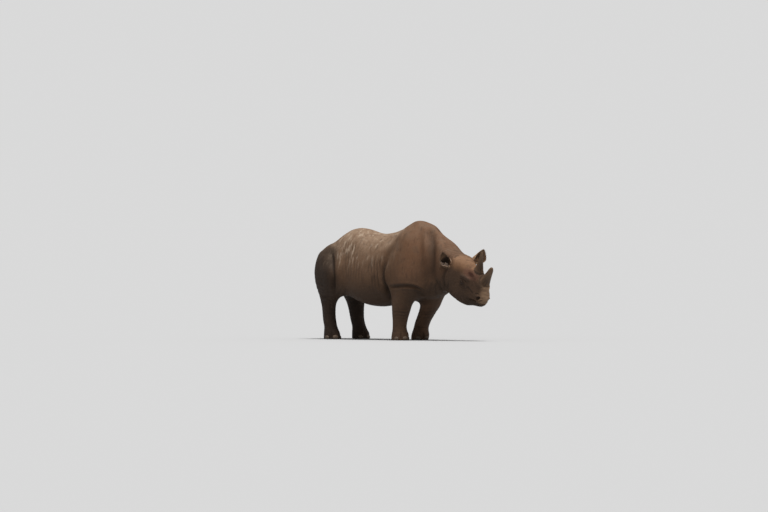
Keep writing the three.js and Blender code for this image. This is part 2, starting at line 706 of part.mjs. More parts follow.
for (const leg of legShapes)
  for (const nail of NAILS) {
    const name = `${leg.name}_nail_${nail.name}`;
    seat(name, (grow) => nailGeometry(leg, nail, grow), [`${leg.name}_leg`]);
    solids[name] = solids[name].subtract(floor);
  }

// ---------------------------------------------------------------- assembly

const MATERIAL_OF = (name) => {
  if (name.includes("horn")) return materials.horn;
  if (name.includes("nail")) return materials.nail;
  if (name.includes("eye")) return materials.eye;
  if (name.includes("brush")) return materials.bristle;
  return materials.skin;
};

const rhinoceros = new THREE.Group();
for (const [name, solid] of Object.entries(solids)) {
  const mesh = new THREE.Mesh(geometryOf(solid), MATERIAL_OF(name));
  mesh.name = name;
  rhinoceros.add(mesh);
}

// The origin is on the floor, under the middle of the whole animal.
const middle = new THREE.Box3().setFromObject(rhinoceros).getCenter(new THREE.Vector3());
for (const mesh of rhinoceros.children) mesh.geometry.translate(-middle.x, -middle.y, 0);

export default rhinoceros;
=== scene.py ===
"""The looks of a life-size black rhinoceros, standing with its head lowered and its ears turned two ways.

Metres. +X is towards the nose, +Y the animal's left and +Z up; the soles stand on Z = 0. One hide is
modelled over the flesh. Horns, eyes, lids, toenails, tail bristles, ear fringes and lashes are
pieces of their own.
"""

from math import cos, pi, radians, sin
from random import Random

import bpy
import numpy as np
from mathutils import Matrix, Vector, noise
from mathutils.bvhtree import BVHTree
from mathutils.kdtree import KDTree


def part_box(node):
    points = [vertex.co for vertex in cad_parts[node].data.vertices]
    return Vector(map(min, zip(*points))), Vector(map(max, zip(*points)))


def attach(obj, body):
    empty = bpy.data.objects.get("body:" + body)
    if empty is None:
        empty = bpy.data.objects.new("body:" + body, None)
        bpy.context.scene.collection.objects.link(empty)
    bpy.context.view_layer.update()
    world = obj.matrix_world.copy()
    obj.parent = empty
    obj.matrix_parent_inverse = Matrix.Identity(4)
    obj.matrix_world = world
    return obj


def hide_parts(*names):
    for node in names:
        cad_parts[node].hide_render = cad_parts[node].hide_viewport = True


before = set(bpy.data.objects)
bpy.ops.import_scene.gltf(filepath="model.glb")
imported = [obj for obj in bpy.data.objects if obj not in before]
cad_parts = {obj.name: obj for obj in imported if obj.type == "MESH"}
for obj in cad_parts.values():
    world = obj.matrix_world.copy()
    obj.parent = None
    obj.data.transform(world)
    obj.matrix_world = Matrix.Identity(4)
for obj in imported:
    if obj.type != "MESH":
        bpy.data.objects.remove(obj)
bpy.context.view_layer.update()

# ---- what the modelling works from

LEGS = ("front_right", "front_left", "rear_right", "rear_left")
NAILS = ("middle", "outer", "inner")
SIDES = {"right": -1, "left": 1}
HORNS = ("front_horn", "rear_horn")

EARS = {  # the way along each ear and the way out of its cup
    "right": (Vector((-0.24, -0.55, 0.8)), Vector((0.8, -0.6, 0))),
    "left": (Vector((0.54, 0.37, 0.82)), Vector((0.85, -0.5, 0))),
}

# The head has its own frame: forward along the mouth, to the left, and up.
HEAD_PLACE = (0.989, 0, 1.06)
HEAD_PITCH = 30
HEAD_ROLL = 8
HEAD = (
    Matrix.Translation(HEAD_PLACE)
    @ Matrix.Rotation(radians(HEAD_PITCH), 4, "Y")
    @ Matrix.Rotation(radians(HEAD_ROLL), 4, "X")
)
INTO_HEAD = np.array(HEAD.inverted())

# ---- bench tools

DOUBLES = 0.0001  # points nearer to each other than this are one point


def select_nothing():
    bpy.ops.object.select_all(action="DESELECT")


def bring_in(name, data):
    thing = bpy.data.objects.new(name, data)
    bpy.context.scene.collection.objects.link(thing)
    return thing


def done():
    bpy.ops.object.mode_set(mode="OBJECT")


def only(piece):
    """Makes a piece the active one and the only one selected."""
    if bpy.context.object and bpy.context.object.mode != "OBJECT":
        done()
    select_nothing()
    piece.select_set(True)
    bpy.context.view_layer.objects.active = piece


def edit(piece, kind="FACE", chosen="DESELECT"):
    """Opens a piece in edit mode with nothing or everything selected."""
    only(piece)
    bpy.ops.object.mode_set(mode="EDIT")
    bpy.ops.mesh.select_mode(type=kind)
    bpy.ops.mesh.select_all(action=chosen)


def select_faces(piece, wanted):
    """Selects the faces for which wanted says yes, and leaves the piece in edit mode."""
    edit(piece)
    done()
    piece.data.polygons.foreach_set("select", [bool(wanted(face)) for face in piece.data.polygons])
    bpy.ops.object.mode_set(mode="EDIT")


def finish_with(piece, kind, **settings):
    """Adds a modifier and applies it."""
    only(piece)
    made = piece.modifiers.new(kind.title(), kind)
    for name, value in settings.items():
        setattr(made, name, value)
    bpy.ops.object.modifier_apply(modifier=made.name)


def loose_copy(node, name):
    """A copy of a CAD node with its doubles merged, free to be worked on."""
    piece = bring_in(name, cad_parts[node].data.copy())
    edit(piece, chosen="SELECT")
    bpy.ops.mesh.remove_doubles(threshold=DOUBLES)
    bpy.ops.mesh.customdata_custom_splitnormals_clear()
    done()
    piece.data.materials.clear()
    return piece


def tree_of(node):
    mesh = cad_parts[node].data
    return BVHTree.FromPolygons([v.co[:] for v in mesh.vertices], [p.vertices[:] for p in mesh.polygons])


def places_of(piece):
    places = np.empty(len(piece.data.vertices) * 3)
    piece.data.vertices.foreach_get("co", places)
    return places.reshape(-1, 3)


def normals_of(piece):
    normals = np.empty(len(piece.data.vertices) * 3)
    piece.data.vertex_normals.foreach_get("vector", normals)
    return normals.reshape(-1, 3)


def put_places(piece, places):
    piece.data.vertices.foreach_set("co", places.ravel())
    piece.data.update()


def ease(t):
    """0 below 0, 1 above 1 and a smooth rise between."""
    t = np.clip(t, 0, 1)
    return t * t * (3 - 2 * t)


def rise(value, start, end):
    """0 at start, 1 at end and smooth between. The end may lie below the start."""
    return ease((value - start) / (end - start))


def warp(places, scale, reach):
    """Smooth noise at each place, at most about reach either way."""
    return reach * np.array([noise.noise(Vector(p) * scale) for p in places])


def gaps(tree, places):
    """How far each place is from a surface."""
    return np.array([tree.find_nearest(Vector(p))[3] for p in places])


def within(places, low_corner, high_corner, spare):
    """Which places lie in a box, or less than spare outside it."""
    return ((places > np.array(low_corner) - spare) & (places < np.array(high_corner) + spare)).all(1)


def soften(piece, times, weights=None):
    """Smooths a piece, more where a vertex weighs more."""
    settings = {}
    if weights is not None:
        group = piece.vertex_groups.new(name="soft")
        tenths = np.ceil(weights * 10).astype(int)
        for tenth in range(1, 11):
            chosen = np.nonzero(tenths == tenth)[0]
            if len(chosen):
                group.add(chosen.tolist(), tenth / 10, "REPLACE")
        settings["vertex_group"] = group.name
    finish_with(piece, "SMOOTH", factor=0.5, iterations=times, **settings)
    piece.vertex_groups.clear()


def middle_of(node):
    low_corner, high_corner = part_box(node)
    return (low_corner + high_corner) / 2


def write_mark(piece, name, values):
    mark = piece.data.attributes.new(name, "FLOAT", "POINT")
    mark.data.foreach_set("value", values.astype(np.float32))


# ---- finishes


def tint(red, green, blue):
    """A colour from its 0 to 255 values."""
    return (*(((c / 255 + 0.055) / 1.055) ** 2.4 if c > 10 else c / 3295 for c in (red, green, blue)), 1)


def grey(level):
    return (level, level, level, 1)


class Wiring:
    """A node tree being wired. Inputs are given by name or number, as values or as other nodes' sockets."""

    def __init__(self, tree):
        self.tree = tree

    def node(self, kind, inputs=None, out=0, **settings):
        made = self.tree.nodes.new(kind)
        for name, value in settings.items():
            setattr(made, name, value)
        self.feed(made.inputs, inputs or {})
        return made.outputs[out]

    def feed(self, sockets, values):
        for name, value in values.items():
            if isinstance(value, bpy.types.NodeSocket):
                self.tree.links.new(value, sockets[name])
            else:
                sockets[name].default_value = value

    def maths(self, operation, a, b):
        return self.node("ShaderNodeMath", {0: a, 1: b}, operation=operation)

    def times(self, first, *rest):
        for other in rest:
            first = self.maths("MULTIPLY", first, other)
        return first

    def plus(self, first, *rest):
        for other in rest:
            first = self.maths("ADD", first, other)
        return first

    def split(self, vector):
        """The sockets of a vector's x, y and z."""
        return self.node("ShaderNodeSeparateXYZ", {0: vector}).node.outputs

    def band(self, value, low, high, bottom=0.0, top=1.0):
        """Takes a value from low to high into bottom to top, with soft ends."""
        return self.node(
            "ShaderNodeMapRange",
            {"Value": value, "From Min": low, "From Max": high, "To Min": bottom, "To Max": top},
            interpolation_type="SMOOTHSTEP",
        )

    def blend(self, amount, under, over):
        return self.node("ShaderNodeMix", {0: amount, 6: under, 7: over}, out=2, data_type="RGBA")

    def layers(self, colour, *coats):
        """Lays thin coats over a colour. Each is an amount and a colour."""
        for amount, over in coats:
            colour = self.blend(amount, colour, over)
        return colour

    def grain(self, place, scale, detail=4, rough=0.6):
        return self.node(
            "ShaderNodeTexNoise", {"Vector": place, "Scale": scale, "Detail": detail, "Roughness": rough}
        )

    def cells(self, place, scale):
        """Distance from the edges of a pattern of cells."""
        return self.node(
            "ShaderNodeTexVoronoi", {"Vector": place, "Scale": scale}, feature="DISTANCE_TO_EDGE"
        )

    def stretch(self, place, scale):
        return self.node("ShaderNodeMapping", {"Vector": place, "Scale": scale})

    def wander(self, place, scale, reach):
        """A place moved about a little, so that patterns on it aren't regular."""
        stray = self.node("ShaderNodeTexNoise", {"Vector": place, "Scale": scale}, out=1)
        stray = self.node("ShaderNodeVectorMath", {0: stray, "Scale": reach}, operation="SCALE")
        return self.node("ShaderNodeVectorMath", {0: place, 1: stray}, operation="ADD")

    def mark(self, name):
        return self.node("ShaderNodeAttribute", out="Fac", attribute_name=name)

    def here(self):
        return self.node("ShaderNodeTexCoord", out="Object")

    def facing(self):
        return self.node("ShaderNodeNewGeometry", out="Normal")

    def dust_and_sheen_over(self, colour, amount):
        inputs = {"Colour": colour, "Dust_and_sheen": DUST_AND_SHEEN, "Amount": amount}
        return self.node("ShaderNodeGroup", inputs, node_tree=DUST_AND_SHEEN_GROUP)


def finish(name, build, **shader):
    """A material: build returns its colour, roughness and height sockets, and the height's reach."""
    material = bpy.data.materials.new(name)
    material.use_nodes = True
    wiring = Wiring(material.node_tree)
    inputs = material.node_tree.nodes["Principled BSDF"].inputs
    colour, roughness, height, reach = build(wiring)
    bump = wiring.node("ShaderNodeBump", {"Height": height, "Distance": reach, "Strength": 1.0})
    wiring.feed(inputs, {"Base Color": colour, "Roughness": roughness, "Normal": bump, **shader})
    return material


def make_dust_and_sheen_group():
    """A pale coat lies on what faces up and stays thin on what hangs: partly real dusting and partly painted
    sheen where light falls from above.
    """
    group = bpy.data.node_groups.new("dust_and_sheen", "ShaderNodeTree")
    for name, kind in (("Colour", "Color"), ("Dust_and_sheen", "Color"), ("Amount", "Float")):
        group.interface.new_socket(name=name, in_out="INPUT", socket_type="NodeSocket" + kind)
    group.interface.new_socket(name="Colour", in_out="OUTPUT", socket_type="NodeSocketColor")
    wiring = Wiring(group)
    given = group.nodes.new("NodeGroupInput").outputs
    lying = wiring.band(wiring.split(wiring.facing())[2], -0.15, 0.9)
    blown = wiring.band(wiring.grain(wiring.here(), 9, 6, 0.7), 0.3, 0.7, 0.35, 1)
    coated = wiring.blend(wiring.times(lying, blown, given["Amount"]), given["Colour"], given["Dust_and_sheen"])
    group.links.new(coated, group.nodes.new("NodeGroupOutput").inputs["Colour"])
    return group


DUST_AND_SHEEN_GROUP = make_dust_and_sheen_group()
DUST_AND_SHEEN = tint(164, 138, 114)

BROWN, WORN_BROWN = tint(104, 75, 53), tint(112, 84, 62)
RED_BROWN = tint(112, 74, 49)
BLOTCH = tint(82, 58, 41)
SOIL_AND_SHADE = tint(66, 48, 34)
SHADED_HAUNCH = tint(40, 29, 21)
LIT_LEFT_FORELEG, SHADED_LEFT_HIND_LEG = tint(116, 85, 64), tint(40, 30, 23)
SHADED_LOWER_FACE = tint(82, 61, 46)
WARM_LIT_FOREHEAD = tint(140, 103, 74)
PALE_LIT_SNOUT = tint(192, 156, 124)
TEMPLE_RIM, TEMPLE_PIT = tint(112, 76, 62), tint(66, 34, 27)
RIB_DUST_AND_SHEEN = tint(190, 168, 146)
SHADED_UNDERSIDE = tint(48, 36, 27)
CELL_EDGE, CREASE, SPECK = tint(58, 42, 31), tint(62, 46, 35), tint(146, 126, 108)
FOLD_SHADE = tint(38, 28, 20)
CUP_ROOF_SHADE, CUP_WALL_PALE_AND_LIT = tint(32, 24, 19), tint(224, 200, 182)


def hide_finish(w):
    here = w.here()
    x, y, z = w.split(here)
    towards, across, up = w.split(w.facing())
    broad = w.grain(here, 2.2, 3, 0.55)
    patches = w.grain(here, 9, 5, 0.62)
    fine = w.grain(here, 55, 6, 0.7)
    # Wrinkled cells run down the flanks, round the legs, and every way on the head.
    loose = w.wander(here, 7.0, 0.05)
    flank = w.band(w.cells(w.stretch(loose, (1, 1, 0.45)), 88), 0, 0.35)
    legs = w.band(w.cells(w.stretch(loose, (0.6, 0.6, 1.2)), 80), 0, 0.35)
    head = w.band(w.cells(loose, 105), 0, 0.4)
    low = w.band(z, 0.72, 0.55)
    fore = w.band(x, 0.95, 1.06)
    large = w.blend(fore, w.blend(low, flank, legs), head)
    hanging_creases = w.grain(w.stretch(loose, (1, 1, 0.22)), 24, 5, 0.6)
    level_creases = w.grain(w.stretch(loose, (0.35, 0.35, 1)), 30, 5, 0.6)
    creases = w.blend(w.maths("MAXIMUM", low, fore), hanging_creases, level_creases)
    cobbles = w.band(w.cells(loose, 210), 0, 0.3)

    soil_and_shade_height = w.plus(z, w.plus(w.times(patches, 0.3), w.band(x, 0.3, 0.6, 0, -0.24)))
    left_legs = w.times(w.band(z, 0.8, 0.55), w.band(y, -0.02, 0.1))
    temple = w.mark("temple")
    colour = w.layers(
        w.blend(w.band(broad, 0.35, 0.65), BROWN, WORN_BROWN),
        (w.times(w.band(x, 0.0, 0.4), w.band(z, 0.6, 0.95), 0.6), RED_BROWN),
        (w.band(patches, 0.42, 0.72, 0, 0.55), BLOTCH),
        # Darker low down and towards the chest: partly soil and partly painted shade.
        (w.times(w.band(soil_and_shade_height, 1.3, 0.72), 0.62), SOIL_AND_SHADE),
        # Painted shade on the haunch and the side of the rump.
        (w.times(w.band(x, -0.9, -1.15), w.band(z, 1.42, 1.2), 0.92), SHADED_HAUNCH),
        # Painted light on the left foreleg, which stands in the body's shade.
        (w.times(left_legs, w.band(x, 0.05, 0.3), 0.75), LIT_LEFT_FORELEG),
        # Painted shade on the left hind leg.
        (w.times(left_legs, w.band(x, -0.7, -1.0), 0.7), SHADED_LEFT_HIND_LEG),
        # Painted shade on the lower half of the head and on the lids.
        (w.times(w.mark("face"), 0.85), SHADED_LOWER_FACE),
        # The top of the forehead is warmer and brighter: partly its own reddish tone and partly painted
        # sunlight.
        (w.times(w.mark("forehead"), w.band(patches, 0.3, 0.6, 0.6, 0.95)), WARM_LIT_FOREHEAD),
        # The snout and the ears are paler: partly their own paler skin and partly painted light where they
        # face away from the sun.
        (w.times(w.mark("snout"), w.band(patches, 0.3, 0.65, 0.55, 1.0)), PALE_LIT_SNOUT),
        (w.band(temple, 0.0, 0.4, 0, 0.6), TEMPLE_RIM),
        (w.band(temple, 0.45, 0.95, 0, 0.75), TEMPLE_PIT),
    )
    # Painted sheen: the upper back and ribs get a pale coat on what faces up, partly real dusting and partly
    # painted light.
    back = w.times(w.band(x, 0.25, -0.1), w.band(x, -1.35, -0.95))
    dust_and_sheen_amount = w.times(w.band(z, 0.85, 1.3), w.band(back, 0, 1, 0.3, 0.95))
    colour = w.dust_and_sheen_over(colour, dust_and_sheen_amount)
    streaks = w.band(w.grain(w.stretch(loose, (1, 1, 0.16)), 17, 4, 0.55), 0.5, 0.72)
    on_ribs = w.times(w.band(z, 0.86, 1.2), w.times(back, w.band(broad, 0.35, 0.55)))
    # Painted light and shade in the right ear's cup: the low outer wall is pale, partly its own colour and
    # partly painted light, and the roof is painted dark as shade.
    inward = w.plus(up, w.times(w.plus(across, towards), 0.45))
    cup_light_and_shade = w.blend(w.band(inward, 0.0, 0.6), CUP_ROOF_SHADE, CUP_WALL_PALE_AND_LIT)
    colour = w.layers(
        colour,
        # Pale streaks on the ribs: partly dusting on the ridges and partly painted sheen.
        (w.times(streaks, w.times(on_ribs, 0.8)), RIB_DUST_AND_SHEEN),
        # Painted shade on what faces down.
        (w.times(w.band(up, 0.0, -0.7), 0.7), SHADED_UNDERSIDE),
        (w.band(large, 0.8, 0, 0, 0.14), CELL_EDGE),
        (w.band(creases, 0.5, 0.3, 0, 0.4), CREASE),
        (w.band(fine, 0.5, 0.8, 0, 0.3), SPECK),
        # Painted shade in the folds, grooves and wrinkles.
        (w.times(w.mark("fold"), 0.85), FOLD_SHADE),
        # Painted shade and light in the ear cups.
        (w.band(w.mark("cup"), 0.25, 0.7, 0, 0.92), cup_light_and_shade),
    )
    roughness = w.band(fine, 0.3, 0.7, 0.6, 0.85)
    height = w.plus(w.times(large, 0.26), w.times(cobbles, 0.14), w.times(fine, 0.22), w.times(creases, 0.9))
    return colour, roughness, height, 0.005


def horn_finish(w):
    fibre = w.node("ShaderNodeAttribute", out="Vector", attribute_name="fibre")
    height = w.mark("height")
    strands = w.grain(w.stretch(fibre, (6, 6, 1.5)), 3.0, 6, 0.75)
    broad = w.grain(w.stretch(fibre, (1, 1, 0.6)), 2.0, 3, 0.5)
    scuffs = w.grain(w.here(), 60, 4, 0.6)
    colour = w.layers(
        w.blend(w.band(broad, 0.35, 0.7), tint(80, 58, 41), tint(48, 36, 27)),
        (w.band(strands, 0.42, 0.7, 0, 0.6), tint(124, 94, 66)),
        (w.band(height, 0.35, 0.95, 0, 0.45), tint(108, 84, 62)),
        (w.band(height, 0.16, 0.03, 0, 0.75), tint(56, 43, 34)),
        (w.band(scuffs, 0.6, 0.8, 0, 0.3), tint(160, 140, 118)),
    )
    colour = w.dust_and_sheen_over(colour, 0.18)
    rough = w.plus(w.band(height, 0.1, 0.8, 0.82, 0.42), w.band(scuffs, 0.4, 0.8, -0.06, 0.12))
    return colour, rough, w.plus(strands, w.times(scuffs, 0.25)), 0.0022


def nail_finish(w):
    here = w.here()
    fibres = w.grain(w.stretch(here, (1, 1, 0.12)), 220, 4, 0.6)
    mottle = w.grain(here, 28, 4, 0.6)
    colour = w.layers(
        w.blend(w.band(mottle, 0.35, 0.7), tint(84, 68, 54), tint(62, 50, 40)),
        (w.band(fibres, 0.45, 0.7, 0, 0.5), tint(112, 93, 74)),
        (w.band(w.split(here)[2], 0.02, 0.0, 0, 0.6), tint(70, 56, 42)),
    )
    colour = w.dust_and_sheen_over(colour, 0.45)
    return colour, w.band(mottle, 0.3, 0.7, 0.5, 0.75), fibres, 0.0015


def eye_finish(w):
    """The pupil, the brown iris, its dark edge and the white, by how far off the eye's axis they lie."""
    off = w.mark("off_axis")
    here = w.here()
    streaks = w.grain(here, 900, 3, 0.7)
    colour = w.layers(
        w.blend(w.band(streaks, 0.3, 0.7), tint(34, 19, 10), tint(58, 33, 17)),
        (w.band(off, 0.15, 0.12), tint(6, 4, 3)),
        (w.band(off, 0.3, 0.36), tint(24, 16, 12)),
        (w.band(off, 0.45, 0.6), tint(70, 52, 44)),
    )
    return colour, w.band(streaks, 0.3, 0.7, 0.05, 0.1), w.grain(here, 120), 0.0001


def bristle_finish(w):
    here = w.here()
    shade = w.grain(here, 300, 2, 0.5)
    colour = w.blend(w.band(shade, 0.35, 0.7), tint(22, 17, 13), tint(58, 44, 34))
    return colour, w.band(shade, 0.3, 0.7, 0.45, 0.65), w.grain(here, 900), 0.0002


WET = {"Specular IOR Level": 0.2, "Coat Weight": 0.25, "Coat Roughness": 0.03}
HIDE = finish("weathered_hide", hide_finish, **{"Specular IOR Level": 0.22})
HORN = finish("horn_fibres", horn_finish, **{"Specular IOR Level": 0.3})
NAIL = finish("toenail", nail_finish)
EYE = finish("wet_eye", eye_finish, **WET)
BRISTLE = finish("black_bristle", bristle_finish)


def dress(piece, material, slot, *nodes):
    """Gives a finished piece its finish, its smooth shading and its place on the body, and hides the nodes
    that it stands in for.
    """
    if nodes:
        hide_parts(*nodes)
    piece.data.materials.clear()
    piece.data.materials.append(material)
    piece.data.polygons.foreach_set("material_index", np.zeros(len(piece.data.polygons), dtype=np.int32))
    only(piece)
    bpy.ops.object.shade_smooth()
    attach(piece, "root")


# ---- hide: the body in the rough

FLESH = ["trunk", "neck", "head"] + [leg + "_leg" for leg in LEGS]
SEATED = {
    "head": [*HORNS, "right_ear", "left_ear", "right_eye", "left_eye"],
    "trunk": ["tail"],
    **{leg + "_leg": [f"{leg}_nail_{nail}" for nail in NAILS] for leg in LEGS},
}
SOCKET_GAP = 0.0015  # a socket's wall is no farther than this from what sits in it
COAT = 0.001  # the hide lies this far inside the flesh's true outline
OVERLAP = 0.002  # how far the parts are swollen so that they run into each other
SHARP = 48  # a cut's rim turns by more than this many degrees
FLAT_ENOUGH = radians(60)  # two triangles that bend less than this make a quad
VOXEL = 0.014
SEAM_REACH = 0.1  # how far from a cut between parts the hide is smoothed over


def heal(piece, seated):
    """Takes away the sockets that the seated nodes left, and closes the holes."""
    trees = [tree_of(node) for node in seated]
    vertices = piece.data.vertices

    def in_socket(face):
        points = [vertices[v].co for v in face.vertices] + [face.center]
        return any(all(tree.find_nearest(p, SOCKET_GAP)[0] for p in points) for tree in trees)

    select_faces(piece, in_socket)
    bpy.ops.mesh.delete(type="FACE")
    bpy.ops.mesh.select_mode(type="EDGE")
    bpy.ops.mesh.select_non_manifold(extend=False)
    bpy.ops.mesh.fill_holes(sides=0)
    done()


def rounded(piece, levels, keep_rims=True):
    """Turns the facets into a smooth surface, and may keep the rims of the cuts sharp."""
    edit(piece, "EDGE", "SELECT")
    bpy.ops.mesh.tris_convert_to_quads(face_threshold=FLAT_ENOUGH, shape_threshold=FLAT_ENOUGH)
    bpy.ops.mesh.select_all(action="DESELECT")
    if keep_rims:
        bpy.ops.mesh.edges_select_sharp(sharpness=radians(SHARP))
        bpy.ops.transform.edge_crease(value=1)
    done()
    finish_with(piece, "SUBSURF", levels=levels, render_levels=levels)


def rough_body():
    """All the flesh but the ears and tail, grown into one."""
    parts = []
    for node in FLESH:
        part = loose_copy(node, "rough_" + node)
        heal(part, SEATED.get(node, []))
        rounded(part, 2)
        edit(part, chosen="SELECT")
        bpy.ops.transform.shrink_fatten(value=OVERLAP)
        done()
        parts.append(part)
    only(parts[0])
    for part in parts:
        part.select_set(True)
    bpy.ops.object.join()
    body = parts[0]
    body.name = "hide"
    finish_with(body, "REMESH", mode="VOXEL", voxel_size=VOXEL)
    return body


def smooth_seams(body):
    places = places_of(body)
    second_nearest = np.sort([gaps(tree_of(node), places) for node in FLESH], axis=0)[1]
    soften(body, 40, ease(1.4 - 1.4 * second_nearest / SEAM_REACH))
    soften(body, 4)


# ---- hide: finer where it matters

HEAD_FROM = 0.88  # the finer mesh starts at this x, on the neck behind the ears
FACE_FROM = 0.17  # the finest mesh starts this far forward in the head
FOOT_TOP = 0.17


def split_faces(body, wanted):
    select_faces(body, wanted)
    bpy.ops.mesh.subdivide(number_cuts=1, smoothness=0)
    done()


def refine(body):
    """Gives the head and feet a finer mesh than the trunk, and the face the finest."""
    split_faces(body, lambda face: face.center.x > HEAD_FROM or face.center.z < FOOT_TOP)
    split_faces(body, lambda face: INTO_HEAD[0] @ (*face.center, 1) > FACE_FROM)
    x, _, z = places_of(body).T
    soften(body, 3, np.maximum(rise(x, HEAD_FROM, HEAD_FROM + 0.1), rise(z, FOOT_TOP, FOOT_TOP - 0.04)))


# ---- hide: ears and tail

GRAFT_REACH = 0.03  # how far from the join a grafted piece is smoothed into the body


def graft(body, node, levels):
    """Grows a part that stands out from the body onto it, with a soft join."""
    part = loose_copy(node, "graft_" + node)
    rounded(part, levels, keep_rims=False)
    for piece, slot in ((body, 0), (part, 1)):
        piece.data.materials.clear()
        for name in ("own", "grafted"):
            piece.data.materials.append(bpy.data.materials.get(name) or bpy.data.materials.new(name))
        piece.data.polygons.foreach_set("material_index", np.full(len(piece.data.polygons), slot))
    finish_with(body, "BOOLEAN", operation="UNION", object=part, solver="EXACT")
    bpy.data.objects.remove(part)
    owners = [set() for _ in body.data.vertices]
    for face in body.data.polygons:
        for v in face.vertices:
            owners[v].add(face.material_index)
    places = places_of(body)
    joins = [v for v, found in enumerate(owners) if len(found) > 1]
    tree = KDTree(len(joins))
    for v in joins:
        tree.insert(places[v], v)
    tree.balance()
    near = np.array([tree.find(p)[2] for p in places])
    soften(body, 10, ease(1 - near / GRAFT_REACH))


# ---- hide: folds and wrinkles


class Sculpt:
    """A piece's points while they are being worked. Its fold says how deep each point lies in a fold, and so
    how much shade is painted on the hide there.
    """

    LIP = 0.35  # how high the rise beside a groove is, against the groove's depth

    def __init__(self, piece):
        self.piece = piece
        self.places = places_of(piece)
        self.normals = normals_of(piece)
        self.in_head = self.places @ INTO_HEAD[:3, :3].T + INTO_HEAD[:3, 3]
        self.push = np.zeros(len(self.places))
        self.fold = np.zeros(len(self.places))
        faces = [face.vertices[:] for face in piece.data.polygons]
        self.surface = BVHTree.FromPolygons([tuple(p) for p in self.places], faces)

    def groove(self, line, width, depth, fade=0.25, dark=1.0):
        """Presses a groove along a line on the surface, with a soft lip on each side, and paints shade into
        it as far as dark says.
        """
        points = np.array([self.surface.find_nearest(Vector(p))[0] for p in curve_through(line)])
        inside = within(self.places, points.min(0), points.max(0), 4 * width)
        places, normals = self.places[inside], self.normals[inside]
        best = np.full(len(places), np.inf)
        along = np.zeros(len(places))
        for i, point in enumerate(points):
            gap = places - point
            off = (gap * normals).sum(1)
            flat = np.sqrt(np.maximum((gap**2).sum(1) - off**2, 0))
            flat[np.abs(off) > 2 * width + 0.02] = np.inf
            closer = flat < best
            best[closer] = flat[closer]
            along[closer] = i / (len(points) - 1)
        ends = ease(along / fade) * ease((1 - along) / fade)
        deep = np.exp(-((best / width) ** 2)) * ends
        lip = np.exp(-(((best - 1.9 * width) / width) ** 2)) * ends
        self.push[inside] += depth * (self.LIP * lip - deep)
        self.fold[inside] = np.maximum(self.fold[inside], deep * dark)

    def ripples(self, way, spacing, depth, mask, sharpness=3, dark=0.6):
        """Presses a row of shallow grooves, one for each step of `spacing` along `way`, and paints shade
        into them as far as dark says.
        """
        inside = mask > 0
        mask = mask.copy()
        mask[inside] *= ease(0.75 + 0.9 * warp(self.places[inside], 0.35 / spacing, 1.0))
        wave = (0.5 + 0.5 * np.cos(2 * pi * way / spacing)) ** sharpness
        self.push -= depth * wave * mask
        self.paint_shade(wave * mask * dark)

    def swell(self, centre, reach, height):
        """Raises a mound round a point, or sinks a hollow if the height is below 0."""
        far = np.linalg.norm(self.places - np.array(centre), axis=1)
        self.push += height * ease(1 - far / reach)

    # Paints shade: raises the fold mark, which the hide's finish turns into darker colour.
    def paint_shade(self, fold):
        self.fold = np.maximum(self.fold, fold)

    def press(self):
        """Carries out what has been asked for so far."""
        self.places += self.normals * self.push[:, None]
        put_places(self.piece, self.places)
        self.normals = normals_of(self.piece)
        self.push[:] = 0


CURVE_STEPS = 10  # between two points that a curve is given


def curve_through(line):
    """Points of a smooth curve through the given ones."""
    knots = [Vector(p) for p in line]
    knots = [2 * knots[0] - knots[1], *knots, 2 * knots[-1] - knots[-2]]
    points = []
    for a, b, c, d in zip(knots, knots[1:], knots[2:], knots[3:]):
        for i in range(CURVE_STEPS):
            t = i / CURVE_STEPS
            even, bent = 2 * a - 5 * b + 4 * c - d, 3 * b - a - 3 * c + d
            points.append(0.5 * (2 * b + (c - a) * t + even * t**2 + bent * t**3))
    return [np.array(p) for p in [*points, knots[-2]]]


def from_head(line, sign):
    """Points given forward, outward and up in the head, carried into the body's frame."""
    return [HEAD @ Vector((forward, sign * outward, up)) for forward, outward, up in line]


# Folds of one side of the body: the line, its width and depth, how far the left one is moved forward by
# that leg's stride, and how much shade is painted into it. Y is outwards from the midline. A depth below 0
# is a ridge.
SHOULDER_REAR = [(-0.05, 0.24, 0.54), (-0.055, 0.33, 0.67), (-0.09, 0.36, 0.8), (-0.09, 0.365, 0.95),
                 (-0.03, 0.35, 1.1), (0.05, 0.29, 1.26), (0.14, 0.2, 1.42)]
ARMPIT = [(-0.09, 0.2, 0.5), (-0.06, 0.25, 0.55), (-0.06, 0.32, 0.66), (-0.09, 0.35, 0.76)]
THIGH_FRONT = [(-1.2, 0.25, 1.28), (-1.14, 0.3, 1.17), (-1.08, 0.35, 1.06), (-1.01, 0.405, 0.87),
               (-1.03, 0.37, 0.72), (-1.07, 0.27, 0.59)]
OVER_ELBOW = [(-0.03, 0.33, 0.7), (0.05, 0.36, 0.715), (0.15, 0.38, 0.722), (0.275, 0.393, 0.728),
              (0.37, 0.372, 0.728), (0.44, 0.33, 0.718), (0.49, 0.28, 0.69), (0.52, 0.23, 0.655),
              (0.56, 0.17, 0.63)]
FORELEG_FRONT = [(0.42, 0.34, 0.69), (0.47, 0.28, 0.64), (0.48, 0.22, 0.58), (0.47, 0.17, 0.5)]
SHOULDER_BLADE = [(0.38, 0.014, 1.565), (0.5, 0.141, 1.405), (0.58, 0.225, 1.206), (0.6, 0.246, 0.939)]
NECK_REAR = [(0.47, 0.03, 1.52), (0.6, 0.13, 1.39), (0.68, 0.2, 1.2), (0.7, 0.21, 0.95), (0.66, 0.19, 0.76)]
BUTTOCK = [(-1.5, 0.18, 1.0), (-1.53, 0.2, 0.85), (-1.48, 0.25, 0.7)]
BEHIND_KNEE = [(-1.38, 0.31, 0.54), (-1.3, 0.345, 0.51), (-1.2, 0.34, 0.53)]
